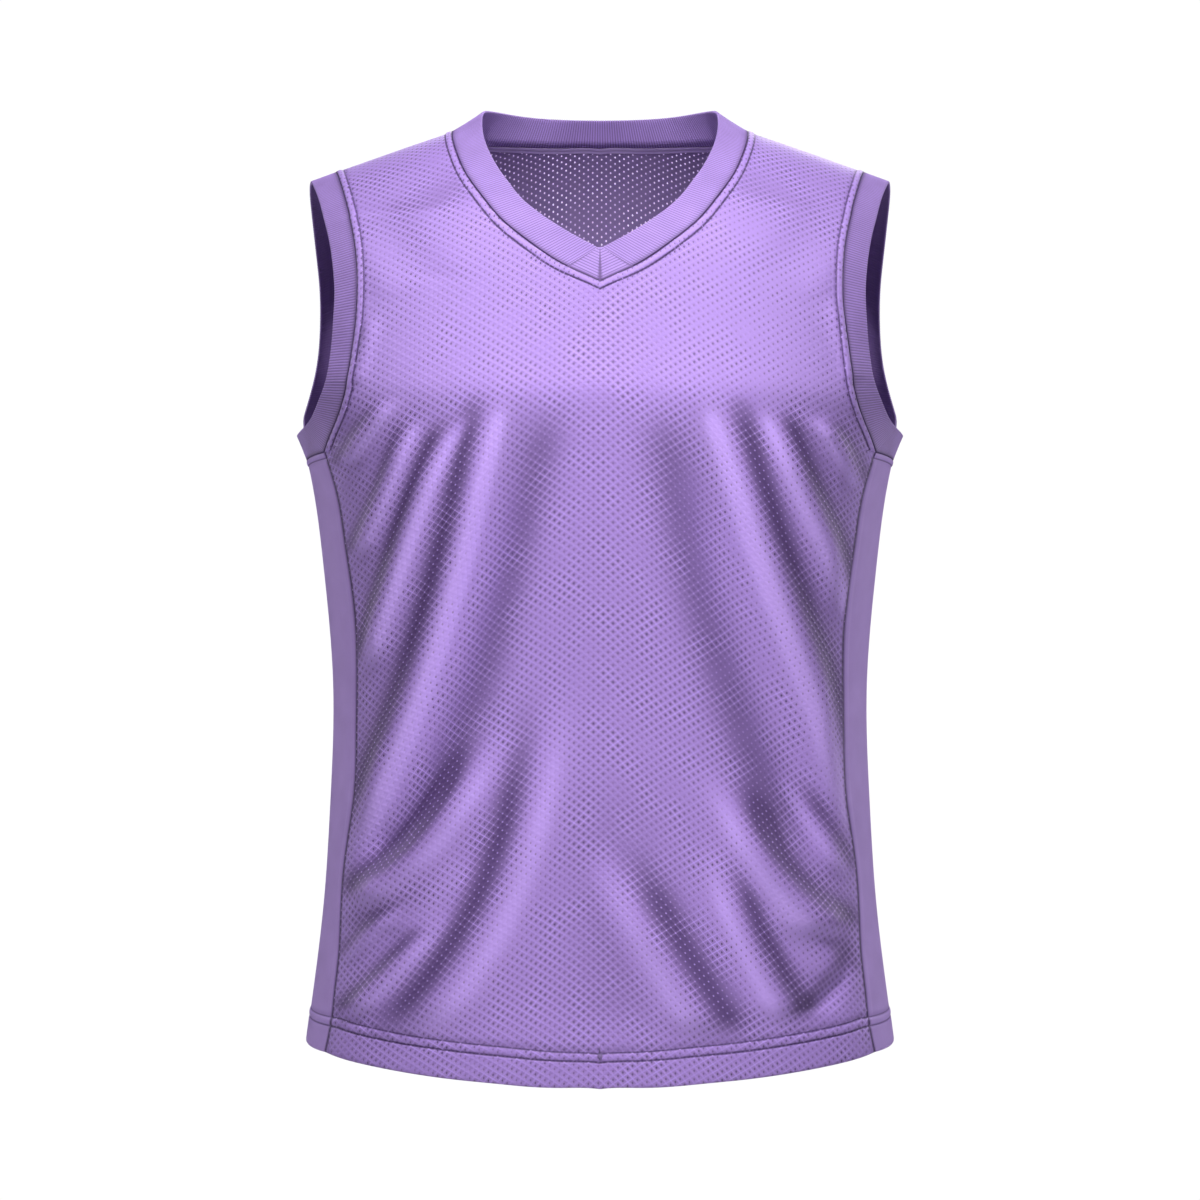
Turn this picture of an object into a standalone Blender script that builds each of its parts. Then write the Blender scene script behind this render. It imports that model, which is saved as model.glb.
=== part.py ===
"""Sleeveless V-neck mesh jersey, standing in the hollow form it is worn in.

Metres, +Z up, the front faces -Y. The origin is the middle of the neck at the
height where the shoulder seams meet the collar. Every piece is a closed wall
of cloth: its outer and inner faces are the same grid of points, moved apart
along the normals of one shared body form.
"""

import bpy
import numpy as np

# ------------------------------------------------------------------ body form
# One row per height: height, half width, depth in front, depth behind.
FORM = np.array([
    (-0.740, 0.2250, 0.1350, 0.1230),
    (-0.684, 0.2182, 0.1305, 0.1180),
    (-0.580, 0.2052, 0.1225, 0.1080),
    (-0.500, 0.2000, 0.1195, 0.1000),
    (-0.420, 0.1980, 0.1205, 0.0970),
    (-0.330, 0.2050, 0.1280, 0.1010),
    (-0.255, 0.2160, 0.1362, 0.1100),
    (-0.219, 0.2266, 0.1396, 0.1142),
    (-0.205, 0.2315, 0.1398, 0.1160),
    (-0.192, 0.2335, 0.1376, 0.1172),
    (-0.130, 0.2395, 0.1232, 0.1200),
    (-0.060, 0.2430, 0.1035, 0.1140),
    (0.000, 0.2450, 0.0850, 0.1060),
    (0.050, 0.2450, 0.0750, 0.0900),
])
CREST_TOP = 0.0368        # shoulder line carried to the middle, before rounding
CREST_SLOPE = 0.357
CREST_ROUND = 0.030
SHOULDER = 0.120          # height over which a shoulder rounds to full depth
SQUARE = 2.9              # how square a level section is
FRONT, BACK = 1, -1

GAP = 0.0002              # each piece stops this far short of its seam
MESH_WALL = 0.0016
KNIT_WALL = 0.0016
RIB_WALL = 0.0022
TAPE_WALL = 0.0010
RIDGE = 0.0008            # seam allowance pressed to the panel and topstitched
# Distances in from an edge, and how far the cloth is raised there.
HEM_ROWS = np.array([0, 0.0090, 0.0170, 0.0182, 0.0194, 0.0232, 0.0244])
HEM_RAISED = np.array([0.0005, 0.0005, 0.0005, 0.0, 0.0009, 0.0009, 0.0])
RIM = np.array([0, 0.0044, 0.0056])
RIM_BACK_NECK = np.array([0, 0.0056, 0.0070])
# Hem, from the side seam to the middle: x, z.
HEM = np.array([
    (-0.1986, -0.6820), (-0.1925, -0.6834), (-0.1715, -0.6868), (-0.1432, -0.6905),
    (-0.1025, -0.6949), (-0.0732, -0.6973), (-0.0277, -0.6999), (0.0000, -0.7007),
])
HEM_RISE = 0.0014         # the hem at the flank is this much higher than at the seams
INSERT_LENGTH = 0.0276    # seam of each V insert, from the point of the V
INSERT_STEPS = 2

# Side seam, front: x, z from the hem up to the underarm.
SIDE_FRONT = np.array([
    (-0.1986, -0.6820), (-0.1948, -0.6640), (-0.1922, -0.6390), (-0.1892, -0.6120),
    (-0.1880, -0.5830), (-0.1858, -0.5480), (-0.1822, -0.5230), (-0.1780, -0.4960),
    (-0.1764, -0.4560), (-0.1758, -0.4150), (-0.1760, -0.3800), (-0.1790, -0.3460),
    (-0.1838, -0.3140), (-0.1885, -0.2830), (-0.1990, -0.2470),
])
# Armhole from the underarm up to the shoulder: seam x, z and free edge x, z.
ARM_FRONT = np.array([
    (-0.1990, -0.2470, -0.2168, -0.2280), (-0.1952, -0.2379, -0.2098, -0.2222),
    (-0.1885, -0.2240, -0.2022, -0.2086), (-0.1828, -0.2085, -0.1968, -0.1948),
    (-0.1793, -0.1930, -0.1943, -0.1806), (-0.1770, -0.1760, -0.1927, -0.1662),
    (-0.1752, -0.1600, -0.1919, -0.1517), (-0.1740, -0.1400, -0.1914, -0.1369),
    (-0.1742, -0.1220, -0.1922, -0.1219), (-0.1756, -0.1050, -0.1943, -0.1067),
    (-0.1784, -0.0900, -0.1975, -0.0911), (-0.1822, -0.0750, -0.2023, -0.0750),
    (-0.1868, -0.0590, -0.2077, -0.0584), (-0.1922, -0.0440, -0.2136, -0.0458),
])
ARM_BACK = np.array([
    (-0.1990, -0.2470, -0.2236, -0.2268), (-0.2022, -0.2345, -0.2252, -0.2180),
    (-0.2040, -0.2160, -0.2245, -0.2060), (-0.2022, -0.1945, -0.2204, -0.1855),
    (-0.2004, -0.1730, -0.2177, -0.1667), (-0.1994, -0.1520, -0.2165, -0.1464),
    (-0.1988, -0.1320, -0.2162, -0.1296), (-0.1986, -0.1130, -0.2166, -0.1116),
    (-0.1985, -0.0940, -0.2178, -0.0938), (-0.1985, -0.0760, -0.2190, -0.0765),
    (-0.1985, -0.0590, -0.2198, -0.0596), (-0.1985, -0.0430, -0.2192, -0.0450),
])
TIP_SEAM, TIP_EDGE = -0.1984, -0.2172       # where the band crosses the shoulder
UNDERARM_DIP = 0.0042                       # the underarm seam sags at the middle
UNDERARM_EDGE = (-0.2248, -0.2300)          # x, z of the band's lowest free edge

NECK_SIDE = -0.1099                         # shoulder seam meets the collar
# Neckline from the side of the neck to the point of the V: seam x, z.
NECK_FRONT = np.array([
    (-0.1095, -0.0120), (-0.1055, -0.0260), (-0.1000, -0.0395), (-0.0930, -0.0520),
    (-0.0837, -0.0653), (-0.0711, -0.0811), (-0.0580, -0.0927), (-0.0436, -0.1038),
    (-0.0260, -0.1152), (0.0000, -0.1275),
])
NECK_BACK = np.array([
    (-0.1060, -0.0060), (-0.0960, -0.0070), (-0.0800, -0.0068), (-0.0600, -0.0060),
    (-0.0300, -0.0052), (0.0000, -0.0049),
])
# Collar's free edge: x, y, z from the V, over the side of the neck, to the back.
COLLAR_EDGE = np.array([
    (-0.0010, -0.1135, -0.1022), (-0.0129, -0.1118, -0.0958), (-0.0243, -0.1090, -0.0891),
    (-0.0359, -0.1050, -0.0815), (-0.0460, -0.1000, -0.0738), (-0.0547, -0.0940, -0.0660),
    (-0.0614, -0.0880, -0.0581), (-0.0669, -0.0815, -0.0500), (-0.0726, -0.0735, -0.0418),
    (-0.0772, -0.0650, -0.0335), (-0.0812, -0.0550, -0.0249), (-0.0845, -0.0435, -0.0161),
    (-0.0872, -0.0260, -0.0030), (-0.0876, -0.0120, 0.0062), (-0.0870, 0.0000, 0.0114),
    (-0.0838, 0.0190, 0.0154), (-0.0750, 0.0365, 0.0168), (-0.0590, 0.0510, 0.0163),
    (-0.0330, 0.0600, 0.0154), (0.0000, 0.0630, 0.0151),
])

# Folds: one row each. The crest's four points x, z from its upper end to its lower
# one, its widths towards -x and towards +x, and its height (negative for a trough).
FRONT_FOLDS = np.array([
    (-0.058, -0.230, -0.087, -0.347, -0.122, -0.451, -0.180, -0.555, 0.014, 0.020, -0.0100),
    (-0.077, -0.220, -0.103, -0.326, -0.132, -0.419, -0.185, -0.536, 0.013, 0.014, 0.0070),
    (-0.105, -0.232, -0.125, -0.276, -0.143, -0.326, -0.170, -0.402, 0.009, 0.010, 0.0065),
    (-0.134, -0.230, -0.146, -0.259, -0.159, -0.290, -0.176, -0.322, 0.007, 0.008, 0.0046),
    (-0.149, -0.212, -0.160, -0.226, -0.172, -0.241, -0.184, -0.257, 0.007, 0.008, 0.0042),
    (-0.077, -0.450, -0.109, -0.508, -0.142, -0.545, -0.184, -0.576, 0.013, 0.016, 0.0090),
    (-0.034, -0.425, -0.053, -0.518, -0.085, -0.596, -0.133, -0.661, 0.016, 0.021, 0.0085),
    (-0.139, -0.569, -0.154, -0.584, -0.170, -0.599, -0.187, -0.616, 0.006, 0.006, 0.0034),
    (-0.114, -0.579, -0.133, -0.604, -0.155, -0.628, -0.180, -0.652, 0.008, 0.009, 0.0060),
    (0.069, -0.234, 0.091, -0.340, 0.119, -0.429, 0.160, -0.534, 0.023, 0.017, -0.0090),
    (0.086, -0.221, 0.120, -0.325, 0.152, -0.412, 0.191, -0.528, 0.016, 0.014, 0.0080),
    (0.123, -0.225, 0.141, -0.270, 0.164, -0.320, 0.186, -0.370, 0.011, 0.011, 0.0070),
    (0.155, -0.224, 0.166, -0.240, 0.176, -0.255, 0.188, -0.273, 0.007, 0.008, 0.0046),
    (0.083, -0.479, 0.113, -0.538, 0.143, -0.573, 0.175, -0.595, 0.016, 0.014, 0.0090),
    (0.136, -0.480, 0.150, -0.504, 0.164, -0.529, 0.181, -0.554, 0.008, 0.009, 0.0050),
    (0.009, -0.532, 0.028, -0.578, 0.051, -0.619, 0.077, -0.661, 0.020, 0.017, 0.0085),
    (0.083, -0.532, 0.097, -0.579, 0.114, -0.616, 0.134, -0.652, 0.014, 0.013, 0.0065),
    (0.190, -0.595, 0.181, -0.616, 0.168, -0.634, 0.153, -0.650, 0.009, 0.009, -0.0044),
    (-0.162, -0.152, -0.165, -0.166, -0.169, -0.182, -0.175, -0.200, 0.006, 0.006, 0.0024),
    (0.166, -0.139, 0.170, -0.157, 0.175, -0.177, 0.179, -0.197, 0.006, 0.006, 0.0020),
])
BACK_FOLDS = np.array([
    (-0.050, -0.230, -0.076, -0.353, -0.117, -0.477, -0.172, -0.600, 0.020, 0.017, 0.0084),
    (-0.108, -0.250, -0.126, -0.317, -0.150, -0.383, -0.180, -0.450, 0.015, 0.013, 0.0058),
    (-0.030, -0.440, -0.050, -0.512, -0.086, -0.583, -0.140, -0.655, 0.020, 0.017, 0.0071),
    (-0.128, -0.560, -0.141, -0.584, -0.161, -0.608, -0.188, -0.632, 0.010, 0.009, 0.0045),
    (0.058, -0.240, 0.086, -0.352, 0.126, -0.463, 0.178, -0.575, 0.018, 0.021, 0.0084),
    (0.116, -0.246, 0.134, -0.304, 0.156, -0.362, 0.180, -0.420, 0.012, 0.014, 0.0055),
    (0.036, -0.470, 0.056, -0.533, 0.092, -0.595, 0.142, -0.658, 0.016, 0.020, 0.0068),
    (0.126, -0.540, 0.142, -0.565, 0.163, -0.589, 0.188, -0.614, 0.009, 0.011, 0.0045),
])


def spline(rows):
    """Natural cubic through rows of (place, value...), as a function of place."""
    s, v = rows[:, 0], rows[:, 1:]
    n, h = len(s), np.diff(s)
    a, r = np.eye(n), np.zeros_like(v)
    for i in range(1, n - 1):
        a[i, i - 1:i + 2] = h[i - 1], 2 * (h[i - 1] + h[i]), h[i]
        r[i] = 6 * ((v[i + 1] - v[i]) / h[i] - (v[i] - v[i - 1]) / h[i - 1])
    m = np.linalg.solve(a, r)

    def at(x):
        x = np.asarray(x, float)
        i = np.clip(np.searchsorted(s, x) - 1, 0, n - 2)
        t, w = (x - s[i])[..., None], h[i][..., None]
        slope = (v[i + 1] - v[i]) / w - w * (2 * m[i] + m[i + 1]) / 6
        return v[i] + t * (slope + t * (m[i] / 2 + t * (m[i + 1] - m[i]) / (6 * w)))
    return at


def along(points, places):
    """A smooth curve through points, read at fractions of its length."""
    steps = np.linalg.norm(np.diff(points, axis=0), axis=1)
    s = np.concatenate([[0], np.cumsum(steps)])
    curve = spline(np.column_stack([s, points]))
    fine = np.linspace(0, s[-1], 400)
    run = np.concatenate([[0], np.cumsum(np.linalg.norm(np.diff(curve(fine), axis=0), axis=1))])
    return curve(np.interp(np.asarray(places) * run[-1], run, fine))


form = spline(FORM)


def crest(x):
    return CREST_TOP - CREST_SLOPE * np.sqrt(x * x + CREST_ROUND ** 2)


def fold_height(x, z, side):
    """How far the folds lift the cloth at x, z of the front or the back."""
    total = np.zeros(np.broadcast(x, z).shape)
    for x0, z0, x1, z1, x2, z2, x3, z3, left, right, height in (FRONT_FOLDS if side == FRONT else BACK_FOLDS):
        path = np.polyfit((z0, z1, z2, z3), (x0, x1, x2, x3), 3)
        t = (z - z0) / (z3 - z0)
        line, lean = np.polyval(path, z), np.polyval(np.polyder(path), z)
        d = (x - line) / np.sqrt(1 + np.clip(lean, -3, 3) ** 2)
        rise, fall = np.clip((t + 0.08) / (0.34 if z0 > -0.4 else 0.62), 0, 1), np.clip((1.06 - t) / 0.16, 0, 1)
        ends = (3 - 2 * rise) * rise ** 2 * (3 - 2 * fall) * fall ** 2
        total += height * ends * np.exp(-(d / np.where(d < 0, left, right)) ** 2)
    reach = np.clip((0.90 - np.abs(x) / form(z)[..., 0]) / 0.11, 0, 1)     # none past the side seams
    return total * reach * reach * (3 - 2 * reach)


def place(x, v, side):
    """The form at x, and v up the cloth from the shoulder line (v <= 0)."""
    quarter = SHOULDER * np.pi / 2
    turn = np.clip(-v / SHOULDER, -np.pi / 2, np.pi / 2)
    z = crest(x) - SHOULDER * (1 - np.cos(turn)) - np.clip(-v - quarter, 0, None)
    half, front, back = np.moveaxis(form(z), -1, 0)
    depth = front if side == FRONT else back
    k = np.clip(1 - np.abs(x / half) ** SQUARE, 1e-9, None) ** (1 / SQUARE)
    return np.stack([x, -side * depth * np.sin(turn) * k, z], -1)


def place_side(y, z, sign):
    """The form at the wearer's flank, by depth y and height z."""
    half, front, back = np.moveaxis(form(z), -1, 0)
    k = np.clip(1 - np.abs(y / np.where(y < 0, front, back)) ** SQUARE, 1e-9, None) ** (1 / SQUARE)
    return np.stack([sign * half * k, y, z], -1)


def lay(points):
    """x, z of the front or back turned to x and v up the cloth."""
    x, z = points[..., 0], points[..., 1]
    h = np.clip(crest(x) - z, 0, None)
    v = np.where(h < SHOULDER, -SHOULDER * np.arccos(np.clip(1 - h / SHOULDER, -1, 1)),
                 SHOULDER * (1 - np.pi / 2) - h)
    return np.stack([x, v], -1)


def outward(surface, a, b, flip):
    """Unit normals of a surface of two values, by small steps."""
    e = 2e-4
    n = np.cross(surface(a + e, b) - surface(a - e, b), surface(a, b + e) - surface(a, b - e))
    return flip * n / np.linalg.norm(n, axis=-1, keepdims=True)


def folded(x, v, side):
    p = place(x, v, side)
    n = outward(lambda i, j: place(i, j, side), x, v, side)
    return p + n * fold_height(x, p[..., 2], side)[..., None]


def folded_side(y, z, sign):
    p = place_side(y, z, sign)
    n = outward(lambda i, j: place_side(i, j, sign), y, z, sign)
    lift = np.where(y < 0, fold_height(p[..., 0], z, FRONT), fold_height(p[..., 0], z, BACK))
    return p + n * lift[..., None]


# -------------------------------------------------------------- pattern grids
def inset(loop, gaps):
    """A closed loop moved inwards, each of its segments by its own distance."""
    run = np.roll(loop, -1, 0) - loop
    n = np.stack([-run[:, 1], run[:, 0]], -1) / np.linalg.norm(run, axis=1, keepdims=True)
    out = []
    for p, m, k, dm, dk in zip(loop, np.roll(n, 1, 0), n, np.roll(gaps, 1), gaps):
        if abs(m[0] * k[1] - m[1] * k[0]) > 0.2:
            out.append(p + np.linalg.solve(np.array([m, k]), [dm, dk]))
        else:
            out.append(p + (m + k) / np.linalg.norm(m + k) * (dm + dk) / 2)
    return np.array(out)


def fill(bottom, right, top, left, u=None, v=None):
    """A grid (rows up, columns across) between four border curves."""
    u = (np.linspace(0, 1, len(bottom)) if u is None else u)[None, :, None]
    v = (np.linspace(0, 1, len(left)) if v is None else v)[:, None, None]
    return ((1 - v) * bottom[None] + v * top[None] + (1 - u) * left[:, None] + u * right[:, None]
            - (1 - u) * ((1 - v) * bottom[0] + v * top[0]) - u * ((1 - v) * bottom[-1] + v * top[-1]))


def framed(bottom, right, top, left, low, rim, neck):
    """A panel grid with border strips of constant width: low, rim and neck
    are distances in from the hem, from the two sides and from the top."""
    rows, cols = len(left), len(bottom)
    kl, kr, kt = len(low) - 1, len(rim) - 1, len(neck) - 1
    loop = np.concatenate([bottom[:-1], right[:-1], top[:0:-1], left[:0:-1]])
    gaps = np.repeat([low[-1], rim[-1], neck[-1], rim[-1]], [cols - 1, rows - 1, cols - 1, rows - 1])
    ring = inset(loop, gaps)
    ring = np.concatenate([ring, ring[:1]])
    ib, ir = ring[:cols], ring[cols - 1:cols + rows - 1]
    it, il = ring[cols + rows - 2:2 * cols + rows - 2][::-1], ring[2 * cols + rows - 3:][::-1]
    across = [0, *range(kr + 1, cols - kr - 1), cols - 1]
    up = [0, *range(kl + 1, rows - kt - 1), rows - 1]
    grid = np.zeros((rows, cols, 2))
    grid[0], grid[-1], grid[:, 0], grid[:, -1] = bottom, top, left, right
    core = fill(ib[across], ir[up], it[across], il[up])
    for _ in range(900):
        across_step, up_step = core[1:-1, 2:] - core[1:-1, :-2], core[2:, 1:-1] - core[:-2, 1:-1]
        a, b, c = ((p * q).sum(-1, keepdims=True) for p, q in (
            (up_step, up_step), (across_step, up_step), (across_step, across_step)))
        twist = core[2:, 2:] - core[2:, :-2] - core[:-2, 2:] + core[:-2, :-2]
        even = (a * (core[1:-1, 2:] + core[1:-1, :-2]) + c * (core[2:, 1:-1] + core[:-2, 1:-1])
                - b * twist / 2) / (2 * (a + c))
        core[1:-1, 1:-1] += 0.8 * (even - core[1:-1, 1:-1])
    grid[kl:rows - kt, kr:cols - kr] = core
    for turned, kj, ki, fj, fi in ((grid, kl, kr, low, rim), (grid[:, ::-1], kl, kr, low, rim),
                                   (grid[::-1], kt, kr, neck, rim), (grid[::-1, ::-1], kt, kr, neck, rim)):
        fj, fi = fj / fj[-1], fi / fi[-1]
        inner = turned[kj, ki:cols - ki]
        for j in range(1, kj):
            turned[j, ki:cols - ki] = turned[0, ki:cols - ki] * (1 - fj[j]) + inner * fj[j]
    for turned, k0, k1 in ((grid, kl, kt), (grid[:, ::-1], kl, kt)):
        f = rim / rim[-1]
        for i in range(1, kr):
            turned[k0:rows - k1, i] = turned[k0:rows - k1, 0] * (1 - f[i]) + turned[k0:rows - k1, kr] * f[i]
    for turned, kj, fj in ((grid, kl, low), (grid[:, ::-1], kl, low),
                           (grid[::-1], kt, neck), (grid[::-1, ::-1], kt, neck)):
        block = turned[:kj + 1, :kr + 1]
        block[:] = fill(block[0].copy(), block[:, -1].copy(), block[-1].copy(), block[:, 0].copy(),
                        rim / rim[-1], fj / fj[-1])
    return grid


def stations(length, start, count, end):
    """Places along an edge: set distances at both ends, even steps between."""
    even = np.linspace(start[-1], length - end[-1], count + 1)
    return np.concatenate([start[:-1], even, length - end[:-1][::-1]]) / length


def length_of(points):
    return np.linalg.norm(np.diff(along(points, np.linspace(0, 1, 300)), axis=0), axis=1).sum()


def edge(points, start, count, end):
    return along(points, stations(length_of(points), np.array(start), count, np.array(end)))


def mirrored(half):
    """A left-hand curve ending at x = 0, carried on to the right."""
    other = half[-2::-1].copy()
    other[:, 0] *= -1
    return np.concatenate([half, other])


# ------------------------------------------------------------- walls of cloth
def shell(name, outer, inner, colour, ring=False):
    """One closed wall between two grids of points (rows, columns)."""
    rows, cols = outer.shape[:2]
    verts = np.concatenate([outer.reshape(-1, 3), inner.reshape(-1, 3)])
    index = np.arange(rows * cols).reshape(rows, cols)
    if ring:
        index = np.column_stack([index, index[:, 0]])
    quads = np.stack([index[:-1, :-1], index[:-1, 1:], index[1:, 1:], index[1:, :-1]], -1).reshape(-1, 4)
    n = rows * cols
    rims = [index[0], index[-1][::-1]] + ([] if ring else [index[:, -1], index[:, 0][::-1]])
    faces = quads.tolist() + (quads[:, ::-1] + n).tolist()
    for rim in rims:
        faces += np.stack([rim[1:], rim[:-1], rim[:-1] + n, rim[1:] + n], -1).tolist()
    a, b, c = outer[0, 0], outer[0, 1], outer[1, 1]
    if np.dot(np.cross(b - a, c - b), outer[0, 0] - inner[0, 0]) < 0:
        faces = [face[::-1] for face in faces]
    mesh = bpy.data.meshes.new(name)
    mesh.from_pydata(verts.tolist(), [], faces)
    mesh.update()
    mesh.materials.append(materials[colour])
    mesh.shade_smooth()
    obj = bpy.data.objects.new(name, mesh)
    jersey.objects.link(obj)


def wall(name, points, normal, thick, colour, raised=0.0, ring=False):
    """Pulls a grid back from its seams, then gives it both faces."""
    p = points.copy()
    for edge_row, near in ((0, 1), (-1, -2)):
        step = points[near] - points[edge_row]
        p[edge_row] += GAP * step / np.linalg.norm(step, axis=-1, keepdims=True)
        if not ring:
            step = points[:, near] - points[:, edge_row]
            p[:, edge_row] += GAP * step / np.linalg.norm(step, axis=-1, keepdims=True)
    raised = np.broadcast_to(raised, p.shape[:2])[..., None]
    shell(name, p + normal * (thick / 2 + raised), p - normal * thick / 2, colour, ring)


# ---------------------------------------------------------------------- start
for obj in list(bpy.data.objects):
    bpy.data.objects.remove(obj)
jersey = bpy.data.collections.new("mesh_jersey")
bpy.context.scene.collection.children.link(jersey)
materials = {}
for key, rgb, rough in (("mesh_knit", (0.43, 0.28, 0.74), 0.45), ("smooth_knit", (0.41, 0.27, 0.70), 0.50),
                        ("rib_knit", (0.42, 0.28, 0.72), 0.60), ("tape", (0.34, 0.22, 0.58), 0.60)):
    materials[key] = bpy.data.materials.new(key)
    materials[key].use_nodes = True
    shader = materials[key].node_tree.nodes["Principled BSDF"]
    shader.inputs["Base Color"].default_value = (*rgb, 1)
    shader.inputs["Roughness"].default_value = rough

# ---------------------------------------------------------- front and back
SIDE_STEPS, ARM_STEPS, SHOULDER_STEPS = 18, 13, 5
UNDERARM = len(HEM_ROWS) - 1 + SIDE_STEPS + 2        # row of the underarm corner
tip = np.array([[TIP_SEAM, crest(TIP_SEAM)]])
neck_side = np.array([[NECK_SIDE, crest(NECK_SIDE)]])
panels = {}
for name, side, arm, neck, neck_steps, neck_rim in (
        ("front_panel", FRONT, ARM_FRONT, NECK_FRONT, 10, RIM),
        ("back_panel", BACK, ARM_BACK, NECK_BACK, 6, RIM_BACK_NECK)):
    armhole = edge(np.concatenate([lay(arm[:, :2]), lay(tip)]), [0], ARM_STEPS, neck_rim)
    left = np.concatenate([edge(lay(SIDE_FRONT), HEM_ROWS, SIDE_STEPS, RIM), armhole[1:]])
    shoulder = edge(np.concatenate([lay(tip), lay(neck_side)]), RIM, SHOULDER_STEPS, [0])
    neckline = np.concatenate([lay(neck_side), lay(neck)])
    length = length_of(neckline)
    cut = length - INSERT_LENGTH if side == FRONT else length
    places = np.linspace(0, cut, neck_steps + 1)
    if side == FRONT:
        places = np.concatenate([places, np.linspace(cut, length, INSERT_STEPS + 1)[1:]])
    top = mirrored(np.concatenate([shoulder, along(neckline, places / length)[1:]]))
    bottom = mirrored(edge(lay(HEM), RIM, len(top) // 2 - len(RIM) + 1, [0]))
    grid = framed(bottom, left * (-1, 1), top, left, HEM_ROWS, RIM, neck_rim)
    rows, cols = grid.shape[:2]
    neck_column = len(shoulder) - 1
    raised = np.zeros((rows, cols))
    raised[UNDERARM:, [0, 1, -2, -1]] = RIDGE
    raised[-2:, neck_column:cols - neck_column] = RIDGE
    raised[:len(HEM_ROWS)] = HEM_RAISED[:, None]
    x, v = grid[..., 0], grid[..., 1]
    points = folded(x, v, side)
    normal = outward(lambda a, b: folded(a, b, side), x, v, side)
    panels[side] = points, normal
    wall(name, points, normal, MESH_WALL, "mesh_knit", raised)

# ------------------------------------------------------------- side panels
# Left and right are the wearer's: the wearer's left is at +X.
flank_tops = {}
for name, sign in (("side_panel_right", -1), ("side_panel_left", 1)):
    seam = edge(lay(SIDE_FRONT), HEM_ROWS, SIDE_STEPS, RIM)
    front, back = (place(seam[:, 0], seam[:, 1], s)[:, 1:] for s in (FRONT, BACK))
    s = np.linspace(0, 1, 7)[:, None]
    sag = np.array([0, -4.0]) * s * (1 - s)
    low = front[0] * (1 - s) + back[0] * s - sag * HEM_RISE
    high = front[-1] * (1 - s) + back[-1] * s + sag * UNDERARM_DIP
    grid = fill(low, back, high, front)
    y, z = grid[..., 0], grid[..., 1]
    raised = np.zeros(y.shape)
    raised[:len(HEM_ROWS)] = HEM_RAISED[:, None]
    raised[-2:] = RIDGE
    points = folded_side(y, z, sign)
    normal = outward(lambda a, b: folded_side(a, b, sign), y, z, sign)
    flank_tops[sign] = points[-1], normal[-1]
    wall(name, points, normal, KNIT_WALL, "smooth_knit", raised)


# ------------------------------------------------ ribbed bands and the collar
def chords(points):
    return np.concatenate([[0], np.cumsum(np.linalg.norm(np.diff(points, axis=0), axis=1))])


def band(name, seam, seam_normal, free, steps, ring):
    """A rib wall from the seam nodes of its neighbours to its free edge."""
    along_edge = (np.roll(free, -1, 0) - np.roll(free, 1, 0)) if ring else np.gradient(free, axis=0)
    n = np.cross(along_edge, free - seam)
    n *= np.sign((n * seam_normal).sum(-1, keepdims=True))
    n /= np.linalg.norm(n, axis=-1, keepdims=True)
    f = np.linspace(0, 1, steps + 1)[:, None, None]
    normal = seam_normal * (1 - f) + n * f
    normal /= np.linalg.norm(normal, axis=-1, keepdims=True)
    wall(name, seam * (1 - f) + free * f, normal, RIB_WALL, "rib_knit", ring=ring)
    return n


for name, sign in (("armhole_band_right", -1), ("armhole_band_left", 1)):
    column = 0 if sign < 0 else -1
    seam, seam_normal = (np.concatenate([
        panels[FRONT][k][:UNDERARM - 1:-1, column], flank_tops[sign][k][1:-1],
        panels[BACK][k][UNDERARM:-1, column]]) for k in (0, 1))
    crown = np.array([[TIP_EDGE, 0.0, crest(TIP_EDGE)]])
    fore, aft = lay(ARM_FRONT[::-1, 2:]), lay(ARM_BACK[:, 2:])
    fore, aft = place(fore[:, 0], fore[:, 1], FRONT), place(aft[:, 0], aft[:, 1], BACK)
    edge_points = np.concatenate([
        aft[-3:], crown, fore, [[UNDERARM_EDGE[0], 0, UNDERARM_EDGE[1]]], aft, crown, fore[:3]])
    run, mark = chords(np.concatenate([seam, seam[:1]])), chords(edge_points)
    front_end = len(panels[FRONT][0]) - 1 - UNDERARM
    corners = [0, front_end, front_end + len(flank_tops[sign][0]) - 1, len(run) - 1]
    pairs = [3, 3 + len(fore), 5 + len(fore), len(mark) - 4]
    free = along(edge_points, np.interp(run, run[corners], mark[pairs] / mark[-1])[:-1])
    band(name, seam, seam_normal, free * (-sign, 1, 1), 3, True)

front_p, front_n = panels[FRONT]
back_p, back_n = panels[BACK]
middle = front_p.shape[1] // 2
cut = middle - INSERT_STEPS
seam, seam_normal = (np.concatenate([
    f[-1, neck_column:cut + 1][::-1], b[-1, neck_column + 1:b.shape[1] // 2 + 1]])
    for f, b in ((front_p, back_p), (front_n, back_n)))
run, mark = chords(seam), chords(COLLAR_EDGE)
side_top = int(np.argmin(np.abs(COLLAR_EDGE[:, 1])))
free = along(COLLAR_EDGE, np.interp(run, run[[0, cut - neck_column, -1]], mark[[0, side_top, -1]] / mark[-1]))
seam, free, seam_normal = (np.concatenate([a, a[-2::-1] * (-1, 1, 1)]) for a in (seam, free, seam_normal))
edge_normal = band("collar", seam, seam_normal, free, 3, False)

for name, sign in (("v_insert_right", -1), ("v_insert_left", 1)):
    f = np.linspace(0, 1, 4)[:, None, None]
    seam, seam_normal = (a[-1, cut:middle + 1] * (-sign, 1, 1) for a in (front_p, front_n))
    q = np.linspace(0, 1, INSERT_STEPS + 1)[:, None]
    top = free[0] * (1 - q) + free[0] * (0, 1, 1) * q
    top_normal = edge_normal[0] * (1 - q) + edge_normal[0] * (0, 1, 1) * q
    normal = seam_normal * (1 - f) + top_normal * (-sign, 1, 1) * f
    normal /= np.linalg.norm(normal, axis=-1, keepdims=True)
    wall(name, seam * (1 - f) + top * (-sign, 1, 1) * f, normal, RIB_WALL, "rib_knit")

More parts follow.
